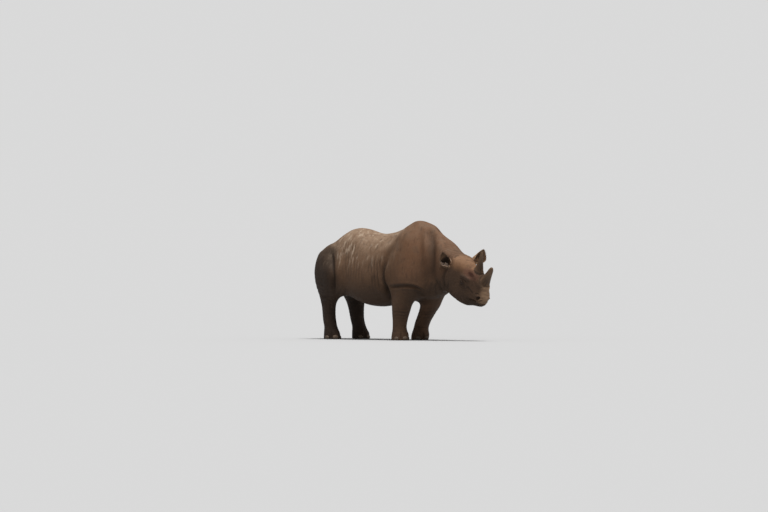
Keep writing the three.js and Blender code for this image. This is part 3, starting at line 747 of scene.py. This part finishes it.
KNEE = [(-1.32, 0.33, 0.6), (-1.22, 0.37, 0.57), (-1.12, 0.36, 0.6)]
THROAT = [(0.72, 0.16, 0.86), (0.76, 0.15, 0.74), (0.74, 0.08, 0.66)]
BODY_FOLDS = [
    (SHOULDER_REAR, 0.055, 0.02, 0.05, 0.25),
    (SHOULDER_REAR[:5], 0.024, 0.02, 0.05, 1.0),
    (ARMPIT, 0.048, 0.024, 0.05, 1.0),
    (THIGH_FRONT, 0.07, 0.02, 0.02, 0.45),
    (THIGH_FRONT[1:], 0.026, 0.02, 0.02, 1.0),
    (OVER_ELBOW, 0.018, 0.02, 0.06, 0.7),
    (FORELEG_FRONT, 0.05, 0.016, 0.06, 0.6),
    (SHOULDER_BLADE, 0.045, -0.018, 0.0, 0.0),
    (NECK_REAR, 0.06, 0.03, 0.0, 0.7),
    (BUTTOCK, 0.03, 0.012, 0.0, 0.2),
    (BEHIND_KNEE, 0.02, 0.009, 0.03, 0.5),
    (KNEE, 0.024, 0.007, 0.03, 0.3),
    (THROAT, 0.03, 0.012, 0.0, 0.4),
]
HUMP = (0.289, 0, 1.59)
HUMP_REACH = 0.35
HUMP_RISE = 0.007  # what smoothing takes off the top of the hump
# Mounds of one side: the middle, the reach and the height.
BODY_MOUNDS = [
    ((0.26, 0.33, 1.0), 0.3, 0.01),
    ((0.3, 0.28, 0.78), 0.16, 0.008),
    ((-1.27, 0.29, 1.27), 0.15, 0.012),
    ((-1.25, 0.36, 0.9), 0.26, 0.006),
]
# Folds of one side of the head, in the head's frame: the line, its width and depth.
BEHIND_JAW = [(0.03, 0.155, -0.03), (0.0, 0.17, -0.15), (0.02, 0.165, -0.28), (0.1, 0.12, -0.4)]
BEHIND_CROWN = [(0.01, 0.165, 0.09), (-0.012, 0.1, 0.132), (-0.006, 0.03, 0.146)]
BROW = [(0.2, 0.16, -0.075), (0.26, 0.155, -0.06), (0.33, 0.135, -0.06), (0.39, 0.12, -0.09)]
OVER_EYE = [(0.225, 0.16, -0.115), (0.27, 0.155, -0.098), (0.32, 0.14, -0.098), (0.365, 0.13, -0.125)]
UNDER_EYE = [(0.24, 0.165, -0.17), (0.3, 0.155, -0.188), (0.36, 0.13, -0.175)]
CHEEK_FOLD = [(0.24, 0.17, -0.2), (0.31, 0.155, -0.215), (0.38, 0.13, -0.2)]
EYE_TO_NOSE = [(0.35, 0.125, -0.16), (0.42, 0.11, -0.19), (0.49, 0.1, -0.21)]
OVER_NOSTRIL = [(0.52, 0.1, -0.19), (0.545, 0.095, -0.17), (0.59, 0.09, -0.16)]
HEAD_FOLDS = [
    (BEHIND_JAW, 0.02, 0.013),
    (BEHIND_CROWN, 0.013, 0.008),
    (BROW, 0.02, -0.007),
    (OVER_EYE, 0.009, 0.006),
    (UNDER_EYE, 0.009, 0.006),
    (CHEEK_FOLD, 0.01, 0.005),
    (EYE_TO_NOSE, 0.014, 0.005),
    (OVER_NOSTRIL, 0.01, 0.005),
]
# How much shade is painted into the head's folds.
HEAD_FOLD_DARK = 0.6
# Half of the line of the mouth, from the point of the lip to its corner.
MOUTH = [(0.65, 0.0, -0.3), (0.613, 0.069, -0.277), (0.55, 0.085, -0.285), (0.487, 0.085, -0.3),
         (0.4, 0.095, -0.328)]
MOUTH_WIDTH, MOUTH_DEPTH = 0.0072, 0.014
NOSTRIL = [(0.548, 0.096, -0.243), (0.575, 0.096, -0.228), (0.6, 0.093, -0.205), (0.612, 0.086, -0.185)]
NOSTRIL_WIDTH, NOSTRIL_DEPTH = 0.0155, 0.034
TEMPLE = (0.335, 0.092, 0.008)  # the hollow between the rear horn and the eye
EAR_ROOT = (0.06, 0.15, -0.03)


def fold_hide(body):
    work = Sculpt(body)
    work.push += warp(work.places, 3.2, 0.007) * (1 - rise(work.places[:, 0], 0.8, 1.0))
    work.push += warp(work.places, 9, 0.0025) - COAT
    work.swell(HUMP, HUMP_REACH, HUMP_RISE)
    for sign in SIDES.values():
        for line, width, depth, stride, dark in BODY_FOLDS:
            shift = stride if sign > 0 else 0
            work.groove([(x + shift, sign * y, z) for x, y, z in line], width, depth, dark=dark)
        for (x, y, z), reach, height in BODY_MOUNDS:
            work.swell((x, sign * y, z), reach, height)
        for line, width, depth in HEAD_FOLDS:
            work.groove(from_head(line, sign), width, depth, dark=HEAD_FOLD_DARK)
    work.press()
    for wrinkle in (wrinkle_ribs, wrinkle_neck, wrinkle_legs, wrinkle_head):
        wrinkle(work)
    work.press()
    work.groove(from_head(MOUTH, 1)[::-1] + from_head(MOUTH, -1)[1:], MOUTH_WIDTH, MOUTH_DEPTH, fade=0.08)
    work.press()
    for sign in SIDES.values():
        work.groove(from_head(NOSTRIL, sign), NOSTRIL_WIDTH, NOSTRIL_DEPTH)
    work.press()
    work.places[:, 2] = np.maximum(work.places[:, 2], 0)
    put_places(body, work.places)
    # The fold mark is painted shade in the folds and grooves, round the eyes and under the mouth.
    write_mark(body, "fold", np.clip(work.fold, 0, 1))
    mark_head(work)


CUP_REACH = 0.12  # how far off a wall may be
CUP_WAYS = 8  # the ways round a point in which a wall is looked for
CUP_FROM = 0.2  # share of an ear's length that is stalk, below the cup
CUP_TURNED = -0.6  # skin that faces away from the cup's mouth by more than this isn't in it
CUP_SHADE = {"right": 1, "left": 0.2}
ON_EAR = 0.012  # skin farther than this from the ear's own shape isn't the ear's


def mark_cups(body):
    """Marks how closed in each point of the ears is, for the shade painted in the cups."""
    body.data.calc_loop_triangles()
    triangles = [t.vertices[:] for t in body.data.loop_triangles]
    tree = BVHTree.FromPolygons([v.co[:] for v in body.data.vertices], triangles)
    cup = np.zeros(len(body.data.vertices))
    places, normals = places_of(body), normals_of(body)
    for ear_side, shade in CUP_SHADE.items():
        node = ear_side + "_ear"
        ear = tree_of(node)
        along, facing = EARS[ear_side]
        levels = [along.dot(v.co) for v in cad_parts[node].data.vertices]
        above = min(levels) + CUP_FROM * (max(levels) - min(levels))
        for v in np.nonzero(within(places, *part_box(node), 0.005))[0]:
            place, out = Vector(places[v]), Vector(normals[v])
            if out.dot(facing) < CUP_TURNED or along.dot(place) < above:
                continue
            if not ear.find_nearest(place, ON_EAR)[0]:
                continue
            side = out.orthogonal().normalized()
            hits = 0
            for turn in range(CUP_WAYS):
                way = out + Matrix.Rotation(turn * 2 * pi / CUP_WAYS, 3, out) @ side
                hits += tree.ray_cast(place + out * 0.002, way.normalized(), CUP_REACH)[0] is not None
            cup[v] = hits / CUP_WAYS * shade
    write_mark(body, "cup", cup)


MOST_TRIANGLES = 190000


def thin_out(body):
    """Takes triangles away where the surface is plain, and keeps them in the folds."""
    triangles = sum(len(face.vertices) - 2 for face in body.data.polygons)
    finish_with(body, "DECIMATE", ratio=min(1, MOST_TRIANGLES / triangles))


def wrinkle_ribs(work):
    """Fine folds hang down the flank, closest and deepest just behind the shoulder."""
    x, y, z = work.places.T
    side = rise(np.abs(y), 0.12, 0.22)
    way = x + 0.16 * (z - 1) + warp(work.places, 4, 0.03) + warp(work.places, 9, 0.012)
    shoulder = side * rise(x, -0.1, -0.15) * rise(x, -0.5, -0.2) * rise(z, 1.22, 1.02) * rise(z, 0.62, 0.72)
    work.ripples(way, 0.048, 0.007, shoulder, 2, 0.75)
    work.ripples(way * 1.35 + 0.3 * z, 0.05, 0.003, shoulder, 3, 0.4)
    ribs = side * rise(x, -0.3, -0.45) * rise(x, -1.0, -0.85) * rise(z, 1.36, 1.24) * rise(z, 0.72, 0.92)
    work.ripples(way, 0.058, 0.005, ribs * ease(0.5 + warp(work.places, 3.1, 1.2)), 2, 0.5)
    groin = side * rise(x, -0.8, -0.9) * rise(x, -1.08, -0.98) * rise(z, 0.86, 0.71) * rise(z, 0.56, 0.62)
    wander = warp(work.places, 5, 0.02)
    work.ripples(0.6 * x - 0.8 * z + wander, 0.05, 0.006, groin, 2, 0.6)
    haunch = rise(x, -1.15, -1.25) * rise(z, 0.9, 0.8) * rise(z, 0.55, 0.65)
    work.ripples(z + 0.3 * x + wander, 0.06, 0.004, haunch, 2, 0.4)


def wrinkle_neck(work):
    x, _, z = work.places.T
    way = 0.82 * x - 0.57 * z + warp(work.places, 5, 0.012)
    nape = rise(x, 0.74, 0.84) * rise(x, 1.09, 1.03) * rise(z, 1.02, 1.14)
    work.ripples(way, 0.034, 0.0038, nape)
    throat = rise(x, 0.52, 0.62) * rise(x, 0.98, 0.9) * rise(z, 0.86, 0.74)
    work.ripples(way, 0.055, 0.007, throat)


def wrinkle_legs(work):
    """Level rings round the pasterns, the knees and the tail, and a cleft on each side of a middle toe."""
    x, _, z = work.places.T
    way = z + warp(work.places, 9, 0.012)
    work.ripples(way, 0.024, 0.003, rise(z, 0.21, 0.18) * rise(z, 0.1, 0.12))
    work.ripples(way, 0.042, 0.003, rise(z, 0.45, 0.39) * rise(z, 0.25, 0.31))
    behind = np.nonzero((x < -1.5) & (z > 0.68))[0]
    on_tail = np.zeros(len(x))
    on_tail[behind] = ease(1.3 - gaps(tree_of("tail"), work.places[behind]) / 0.008)
    work.ripples(way, 0.021, 0.0022, on_tail * rise(z, 1.14, 1.04))
    for leg in LEGS:
        toe = middle_of(leg + "_nail_middle")
        for side_toe in ("outer", "inner"):
            cleft = (toe + middle_of(f"{leg}_nail_{side_toe}")) / 2
            line = [(cleft.x, cleft.y, height) for height in (-0.03, 0.03, 0.07, 0.12)]
            work.groove(line, 0.013, 0.008, dark=0.5)


def wrinkle_head(work):
    forward, left, up = work.in_head.T
    wander = warp(work.places, 14, 0.006)
    snout = rise(forward, 0.5, 0.55) * rise(up, -0.185, -0.155) * rise(up, -0.03, -0.06)
    work.ripples(up - 0.35 * forward + wander, 0.019, 0.0035, snout)
    chin = rise(forward, 0.3, 0.4) * rise(up, -0.33, -0.36)
    work.ripples(forward + wander, 0.03, 0.002, chin)
    for side, sign in SIDES.items():
        eye = np.array(middle_of(side + "_eye"))
        far = np.linalg.norm(work.places - eye, axis=1)
        work.ripples(far + 2 * wander, 0.0135, 0.0022, rise(far, 0.026, 0.036) * rise(far, 0.07, 0.04))
        work.swell(eye, 0.07, 0.004)
        work.push -= 0.004 * rise(far, 0.0255, 0.0185)
        # Painted shade round the eye.
        work.paint_shade(0.7 * rise(far, 0.062, 0.026))
        work.swell(from_head([TEMPLE], sign)[0], 0.085, -0.014)
        work.swell(from_head([EAR_ROOT], sign)[0], 0.06, 0.012)
        near = np.nonzero((np.abs(forward - 0.07) < 0.16) & (sign * left > 0.04))[0]
        rings, root = np.zeros((2, len(forward)))
        rings[near] = gaps(tree_of(side + "_ear"), work.places[near])
        root[near] = rise(rings[near], 0.006, 0.012) * rise(rings[near], 0.07, 0.03)
        work.ripples(rings + wander, 0.017, 0.004, root, 2, 0.7)
    # Painted shade on the chin, below the mouth line.
    work.paint_shade(0.7 * rise(forward, 0.28, 0.43) * rise(up - wander, -0.27, -0.32))
    for node in HORNS:
        collar(work, node)


COLLAR = 0.05  # how far from a horn the skin starts to climb to it
COLLAR_HEIGHT = 0.006


def collar(work, horn):
    """The skin climbs a little to meet a horn, is rough there, and has shade painted where it meets the
    horn.
    """
    near = np.nonzero(work.in_head[:, 0] > FACE_FROM)[0]
    gap = gaps(tree_of(horn), work.places[near])
    work.push[near] += ease(1 - gap / COLLAR) * (COLLAR_HEIGHT + warp(work.places[near], 70, 0.0015))
    work.fold[near] = np.maximum(work.fold[near], 0.6 * ease(1 - gap / 0.016))


# The left ear is painted paler than the right as painted light, since that ear lies in shade.
EAR_PALE_AND_LIT = {"right": 0.45, "left": 1.0}  # how pale the edge of each ear is


def mark_head(work):
    """Marks the forehead, warm and painted as lit, the snout and ears, paler and partly painted as lit, the
    lower face, painted in shade, and the temples.
    """
    forward, left, up = work.in_head.T
    wander = warp(work.places, 7, 0.03)
    near = np.nonzero(np.abs(forward) < 0.3)[0]
    ears, rims = np.zeros((2, len(forward)))
    for side, pale in EAR_PALE_AND_LIT.items():
        gap = gaps(tree_of(side + "_ear"), work.places[near])
        ears[near] = np.maximum(ears[near], ease(1.2 - gap / 0.03))
        rims[near] = np.maximum(rims[near], ease(1.5 - gap / 0.006) * pale)
    head = rise(forward, -0.04, 0.04)
    forehead = head * rise(up + wander, -0.05, 0.06) * rise(forward, 0.42, 0.34) * (1 - ears)
    beside = np.abs(left) + 0.8 * wander
    snout = rise(forward + wander, 0.52, 0.62) * rise(beside, 0.105, 0.045) * rise(up, -0.31, -0.26)
    face = head * rise(up - wander, 0.0, -0.06) * (1 - snout)
    temple = np.zeros(len(forward))
    for sign in SIDES.values():
        gap = (work.in_head - np.array(TEMPLE) * (1, sign, 1)) * (0.6, 1, 1.2)
        far = np.linalg.norm(gap, axis=1) + 0.4 * wander
        temple = np.maximum(temple, 0.4 * rise(far, 0.1, 0.05) + 0.6 * rise(far, 0.046, 0.016))
    marks = {"temple": temple, "forehead": forehead, "snout": np.maximum(snout, rims), "face": face}
    for name, values in marks.items():
        write_mark(work.piece, name, values)


hide = rough_body()
smooth_seams(hide)
refine(hide)
for node, levels in (("right_ear", 3), ("left_ear", 3), ("tail", 2)):
    graft(hide, node, levels)
fold_hide(hide)
thin_out(hide)
mark_cups(hide)
dress(hide, HIDE, "hide", *FLESH, "right_ear", "left_ear", "tail")

# ---- horns

HORN_FULLNESS = 1.035  # makes up for what rounding takes off
RING_STEP = 0.011  # from ring to ring of its growth, over 2 pi


def make_horn(node):
    """A horn of pressed fibres: smooth at the tip, ribbed below, frayed where it meets the skin."""
    horn = loose_copy(node, node + "_fibres")
    rounded(horn, 3, keep_rims=False)
    places = places_of(horn)
    away = np.linalg.norm(places - np.array(HEAD_PLACE), axis=1)
    tip = places[away.argmax()]
    foot = places[away < np.percentile(away, 12)].mean(0)
    axis = Vector(tip - foot)
    length = axis.length
    axis.normalize()
    side = axis.cross(Vector((0, 1, 0))).normalized()
    front = axis.cross(side)
    from_foot = places - foot
    height = from_foot @ np.array(axis)
    core = foot + np.outer(height, axis)
    places = core + (places - core) * HORN_FULLNESS
    around = np.arctan2(from_foot @ np.array(front), from_foot @ np.array(side))
    t = np.clip(height / length, 0, 1)
    fibre = np.stack([np.cos(around), np.sin(around), height * 2.2], 1)
    ribs = warp(fibre, 4.5, 1) + warp(fibre, 11, 0.5)
    rings = np.sin(height / RING_STEP + 2 * ribs)
    push = 0.0016 * ribs * rise(t, 0.95, 0.45) + 0.0005 * rings * rise(t, 0.7, 0.3)
    push += (0.004 + warp(fibre * (9, 9, 5), 1, 0.0035)) * rise(t, 0.17, 0.09)
    outward = (places - core) / np.maximum(np.linalg.norm(places - core, axis=1), 1e-4)[:, None]
    put_places(horn, places + outward * push[:, None])
    write_mark(horn, "height", t)
    mark = horn.data.attributes.new("fibre", "FLOAT_VECTOR", "POINT")
    mark.data.foreach_set("vector", fibre.astype(np.float32).ravel())
    dress(horn, HORN, "horn", node)


for horn_node in HORNS:
    make_horn(horn_node)

# ---- toenails

NAIL_FULLNESS = (1.05, 1.05, 1.02)


def make_nail(node):
    """A toenail with fine ridges down it and faint rings of growth across it."""
    nail = loose_copy(node, node + "_horny")
    rounded(nail, 2, keep_rims=False)
    places = places_of(nail)
    middle = places.mean(0)
    places = middle + (places - middle) * NAIL_FULLNESS
    ridges = warp(places * (160, 160, 9), 1, 1)
    growth = np.sin((places[:, 2] + 0.004 * ridges) / 0.0016)
    places += normals_of(nail) * (0.0007 * ridges + 0.0003 * growth)[:, None]
    places[:, 2] = np.maximum(places[:, 2], 0.0005)
    put_places(nail, places)
    dress(nail, NAIL, "nail", node)


for leg in LEGS:
    for nail_name in NAILS:
        make_nail(f"{leg}_nail_{nail_name}")

# ---- eyes and lids

EYE_RADIUS = 0.0177
LID_GAP = 0.0012  # between the eyeball and the inside of a lid
LID_THICK = 0.0032
LID_BEVEL = 0.0009
LID_OPEN = {"upper": 33, "lower": 30}  # how far each lid's edge stands off the middle of the eye
LID_BACK = 0.5  # how far past the eye's side a lid runs, in radians
LID_FOLD_STEP = 11  # degrees from fold to fold of a lid
CORNEA = 34  # degrees from the middle of the eye to the edge of the clear cap
CORNEA_RISE = 0.0016
GAZE = (0.34, 0.93, 0.1)  # forward, outward and up in the head
CORNERS = (1, -0.2, -0.22)


def eye_axes(side):
    """Where an eye looks, its line from corner to corner, and its way up."""
    turn = np.array(HEAD)[:3, :3]
    gaze, corners = (Vector(turn @ (f, SIDES[side] * out, up)) for f, out, up in (GAZE, CORNERS))
    gaze.normalize()
    corners = (corners - gaze * corners.dot(gaze)).normalized()
    upward = gaze.cross(corners)
    return gaze, corners, -upward if upward.z < 0 else upward


def add_ball(name, centre, radius, pole, segments, rings):
    select_nothing()
    turn = pole.to_track_quat("Z", "Y").to_euler()
    bpy.ops.mesh.primitive_uv_sphere_add(
        segments=segments, ring_count=rings, radius=radius, location=centre, rotation=turn
    )
    ball = bpy.context.object
    ball.name = ball.data.name = name
    bpy.ops.object.transform_apply(location=True, rotation=True, scale=True)
    return ball


def make_eye(side):
    gaze = eye_axes(side)[0]
    centre = middle_of(side + "_eye")
    eye = add_ball(side + "_eyeball", centre, EYE_RADIUS, gaze, 40, 28)
    places = places_of(eye)
    towards = (places - np.array(centre)) @ np.array(gaze) / EYE_RADIUS
    off_axis = np.degrees(np.arccos(np.clip(towards, -1, 1)))
    places += np.outer(CORNEA_RISE * ease(1 - off_axis / CORNEA), gaze)
    put_places(eye, places)
    write_mark(eye, "off_axis", off_axis / 90)
    dress(eye, EYE, "eye", side + "_eye")


def make_lid(side, which):
    gaze, corners, upward = eye_axes(side)
    away = upward if which == "upper" else -upward
    centre = middle_of(side + "_eye")
    radius = EYE_RADIUS + LID_GAP
    lid = add_ball(f"{side}_{which}_lid", centre, radius, corners, 36, 24)
    edge = radians(LID_OPEN[which])
    edit(lid)
    for plane in (away * cos(edge) - gaze * sin(edge), away * sin(LID_BACK) + gaze * cos(LID_BACK)):
        bpy.ops.mesh.select_all(action="SELECT")
        bpy.ops.mesh.bisect(plane_co=centre, plane_no=plane, clear_inner=True)
    done()
    finish_with(lid, "SOLIDIFY", thickness=LID_THICK, offset=1)
    finish_with(lid, "BEVEL", width=LID_BEVEL, segments=2, limit_method="ANGLE")
    finish_with(lid, "SUBSURF", levels=1, render_levels=1)
    places = places_of(lid)
    out = places - np.array(centre)
    far = np.linalg.norm(out, axis=1)
    from_edge = np.degrees(np.arctan2(out @ np.array(away), out @ np.array(gaze))) - LID_OPEN[which]
    outer = rise(far - radius, 0.001, 0.0025)
    folds = np.cos(from_edge / LID_FOLD_STEP * 2 * pi) * outer * rise(from_edge, 4, 10)
    places += out / far[:, None] * (0.0007 * folds)[:, None]
    put_places(lid, places)
    # The lids are painted in shade, darker still in their folds.
    write_mark(lid, "fold", 0.45 + 0.35 * np.clip(-folds, 0, 1))
    for name, value in (("cup", 0.0), ("face", 1.0), ("temple", 0.0)):
        write_mark(lid, name, np.full(len(places), value))
    dress(lid, HIDE, "hide")
    return centre, gaze, corners, away, edge


# ---- hair


class Hair:
    """Bristles in one mesh. Each has a small patch of its own at its root's place on the unwrapped skin."""

    PATCH = 0.003
    WALLS = 3
    TIP = 0.25  # how thick the last ring is, against the root

    def __init__(self):
        self.places, self.faces, self.patches = [], [], []

    def grow(self, root, way, bend, length, radius, patch, joints=5):
        way = Vector(way).normalized()
        side = way.orthogonal().normalized()
        first = len(self.places)
        for j in range(joints):
            t = j / joints
            middle = Vector(root) + way * (length * t) + Vector(bend) * (length * t * t)
            thick = radius * (1 - (1 - self.TIP) * t)
            for k in range(self.WALLS):
                self.places.append(middle + Matrix.Rotation(k * 2 * pi / self.WALLS, 3, way) @ side * thick)
        tip = len(self.places)
        self.places.append(Vector(root) + way * length + Vector(bend) * length)

        def spot(v):
            j, k = divmod(v - first, self.WALLS)
            across, down = k / self.WALLS - 0.4, j / joints - 0.5
            return (patch[0] + self.PATCH * across, patch[1] + self.PATCH * down)

        def face(*corners):
            self.faces.append(corners)
            self.patches.extend(spot(v) for v in corners)

        face(*(first + k for k in reversed(range(self.WALLS))))
        for ring in range(first, tip, self.WALLS):
            for k in range(self.WALLS):
                a, b = ring + k, ring + (k + 1) % self.WALLS
                if ring + self.WALLS < tip:
                    face(a, b, b + self.WALLS, a + self.WALLS)
                else:
                    face(a, b, tip)

    def finished(self, name, *nodes):
        mesh = bpy.data.meshes.new(name)
        mesh.from_pydata(self.places, [], self.faces)
        unwrap = mesh.uv_layers.new(name="OFBake")
        unwrap.data.foreach_set("uv", np.array(self.patches, dtype=np.float32).ravel())
        dress(bring_in(name, mesh), BRISTLE, "bristle", *nodes)


LASHES = {"upper": 30, "lower": 16}
LASH_LENGTH = {"upper": 0.015, "lower": 0.008}
LASH_RADIUS = 0.00035
LASH_SPAN = 62  # degrees each way from the middle of a lid


def make_lashes(side):
    """An eye's lids, and the lashes on their edges."""
    lashes = Hair()
    draw = Random(3)
    for row, which in enumerate(LASHES):
        centre, gaze, corners, away, edge = make_lid(side, which)
        margin = gaze * cos(edge) + away * sin(edge)
        for n in range(LASHES[which]):
            across = radians(LASH_SPAN * (2 * n / (LASHES[which] - 1) - 1)) + draw.uniform(-0.03, 0.03)
            out = margin * cos(across) + corners * sin(across)
            root = centre + out * (EYE_RADIUS + LID_GAP + LID_THICK * 0.55) + away * 0.0006
            way = out + away * draw.uniform(0.2, 0.55) + corners * sin(across) * 0.3
            length = LASH_LENGTH[which] * draw.uniform(0.7, 1.1)
            patch = (0.5 + 0.4 * sin(across), 0.35 + 0.3 * row)
            lashes.grow(root, way, away * 0.35 - Vector((0, 0, 0.15)), length, LASH_RADIUS, patch)
    lashes.finished(side + "_lashes")


for side in SIDES:
    make_eye(side)
    make_lashes(side)

FRINGE = 190  # hairs on each edge of an ear
FRINGE_FROM = 0.3  # share of an ear's height without a fringe
FRINGE_RADIUS = 0.0005
FRINGE_SEED = {"right": 11, "left": 12}


def make_fringe(side):
    """Short hair along both edges of an ear, longest towards the tip."""
    up, facing = EARS[side]
    up = up.normalized()
    facing = (facing - up * facing.dot(up)).normalized()
    across = facing.cross(up)
    places = places_of(hide)
    places = places[within(places, *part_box(side + "_ear"), 0.01)]
    places = places[gaps(tree_of(side + "_ear"), places) < 0.004]
    height = places @ np.array(up)
    top = height.max()
    tall = top - height.min()
    fringe = Hair()
    draw = Random(FRINGE_SEED[side])
    for edge in (-1, 1):
        for n in range(FRINGE):
            s = FRINGE_FROM + 0.69 * (n + draw.random()) / FRINGE
            near = places[np.abs(height - (top - tall * (1 - s))) < 0.005]
            if not len(near):
                continue
            root = near[(edge * (near @ np.array(across)) + 0.45 * (near @ np.array(facing))).argmax()]
            root = Vector(root) - across * edge * 0.002 + up * draw.uniform(-0.004, 0.004)
            root += facing * draw.uniform(-0.004, 0.002)
            way = across * edge * draw.uniform(0.25, 0.8) + up * draw.uniform(0.6, 1.1)
            way += facing * draw.uniform(-0.25, 0.35)
            length = draw.uniform(0.005, 0.010) * (0.6 + 0.6 * ease(s))
            patch = (0.5 + edge * (0.12 + 0.3 * sin(pi * s)) + draw.uniform(-0.01, 0.01), 0.05 + 0.9 * s)
            fringe.grow(root, way, up * 0.25, length, FRINGE_RADIUS, patch, joints=4)
    fringe.finished(side + "_ear_fringe")


for side in SIDES:
    make_fringe(side)

TAIL_BRISTLES = 420
BRISTLE_RADIUS = 0.0009
BRUSH_RISE = 0.09  # how far above the brush the highest bristles start
LONG_ENDS, SHORT_ENDS = (0, 0.09), (0.05, 0.15)  # where bristles end, above the low end of the brush
LONG_SHARE = 0.6


def make_tail_brush():
    """Stiff bristles round the end of the tail, hanging and a little splayed front and back."""
    low_corner, high_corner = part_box("tail_brush")
    places, normals = places_of(hide), normals_of(hide)
    x, y, z = places.T
    start = high_corner.z - 0.004
    on_end = (x < high_corner.x + 0.03) & (x < -1.53) & (np.abs(y + 0.01) < 0.045)
    tail = np.nonzero(on_end & (z > start) & (z < high_corner.z + BRUSH_RISE))[0]
    draw = Random(5)
    brush = Hair()
    for _ in range(TAIL_BRISTLES):
        v = min((draw.choice(tail) for _ in range(2)), key=lambda found: places[found][2])
        root, out = Vector(places[v]), Vector(normals[v])
        ends = LONG_ENDS if draw.random() < LONG_SHARE else SHORT_ENDS
        length = root.z - low_corner.z - draw.uniform(*ends)
        way = Vector((0, 0, -1)) + out * draw.uniform(0.05, 0.26) + Vector((0, draw.uniform(-0.04, 0.04), 0))
        bend = -out * draw.uniform(0.02, 0.12) + Vector((0.03, draw.uniform(-0.05, 0.05), 0))
        turn = np.arctan2(out.y, out.x) / (2 * pi) + 0.5
        patch = (0.02 + 0.96 * turn, 0.05 + 0.9 * (root.z - start) / (BRUSH_RISE + 0.004))
        brush.grow(root - out * 0.002, way, bend, length, BRISTLE_RADIUS, patch, joints=6)
    brush.finished("tail_bristles", "tail_brush")


make_tail_brush()

# ---- studio

FLOOR_GREY = 0.5
FLOOR_RADIUS = 1500
SKY = 0.34
SUN = 3.4
SUN_FROM = (0.22, -0.08, 1.0)  # nearly overhead, a little to the front
SUN_WIDTH = 25  # degrees
CAMERA_TURN = 45  # degrees from square to the animal's right side, towards its front
CAMERA_FAR = 85.7
CAMERA_ASIDE = 0.515  # to the left of the line to the hump
CAMERA_HEIGHT = 1.53
CAMERA_FALL = -0.0047  # of the line of sight, over each metre
LENS = 300
SIGHT_END = 4000


def studio():
    scene = bpy.context.scene
    camera = bring_in("camera", bpy.data.cameras.new("camera"))
    turn = radians(CAMERA_TURN)
    across, ahead = Vector((cos(turn), sin(turn), 0)), Vector((-sin(turn), cos(turn), 0))
    stand = Vector((HUMP[0], 0, CAMERA_HEIGHT))
    camera.location = stand - across * CAMERA_ASIDE - ahead * CAMERA_FAR
    sight = ahead + Vector((0, 0, CAMERA_FALL))
    camera.rotation_euler = sight.to_track_quat("-Z", "Y").to_euler()
    camera.data.lens = LENS
    camera.data.clip_end = SIGHT_END
    scene.camera = camera

    select_nothing()
    bpy.ops.mesh.primitive_circle_add(
        vertices=96, radius=FLOOR_RADIUS, fill_type="NGON", location=(0, 0, -0.001)
    )
    floor = bpy.context.object
    floor.name = "floor"
    paint = bpy.data.materials.new("pale_floor")
    paint.use_nodes = True
    matt = {"Base Color": grey(FLOOR_GREY), "Roughness": 1.0, "Specular IOR Level": 0.0}
    Wiring(paint.node_tree).feed(paint.node_tree.nodes["Principled BSDF"].inputs, matt)
    floor.data.materials.append(paint)

    sun = bring_in("sun", bpy.data.lights.new("sun", "SUN"))
    sun.data.energy = SUN
    sun.data.angle = radians(SUN_WIDTH)
    falls = -Vector(SUN_FROM).normalized()
    sun.rotation_euler = falls.to_track_quat("-Z", "Y").to_euler()

    # The backdrop is as bright as the floor, so that no line shows where the floor ends.
    world = bpy.data.worlds.new("studio")
    scene.world = world
    world.use_nodes = True
    w = Wiring(world.node_tree)
    light = world.node_tree.nodes["Background"]
    w.feed(light.inputs, {"Color": grey(SKY)})
    wall = w.node("ShaderNodeBackground", {"Color": grey(FLOOR_GREY * (SKY + SUN * -falls.z / pi))})
    seen = w.node("ShaderNodeLightPath", out="Is Camera Ray")
    pick = w.node("ShaderNodeMixShader", {0: seen, 1: light.outputs[0], 2: wall})
    w.feed(world.node_tree.nodes["World Output"].inputs, {"Surface": pick})
    scene.view_settings.view_transform = "Standard"


studio()
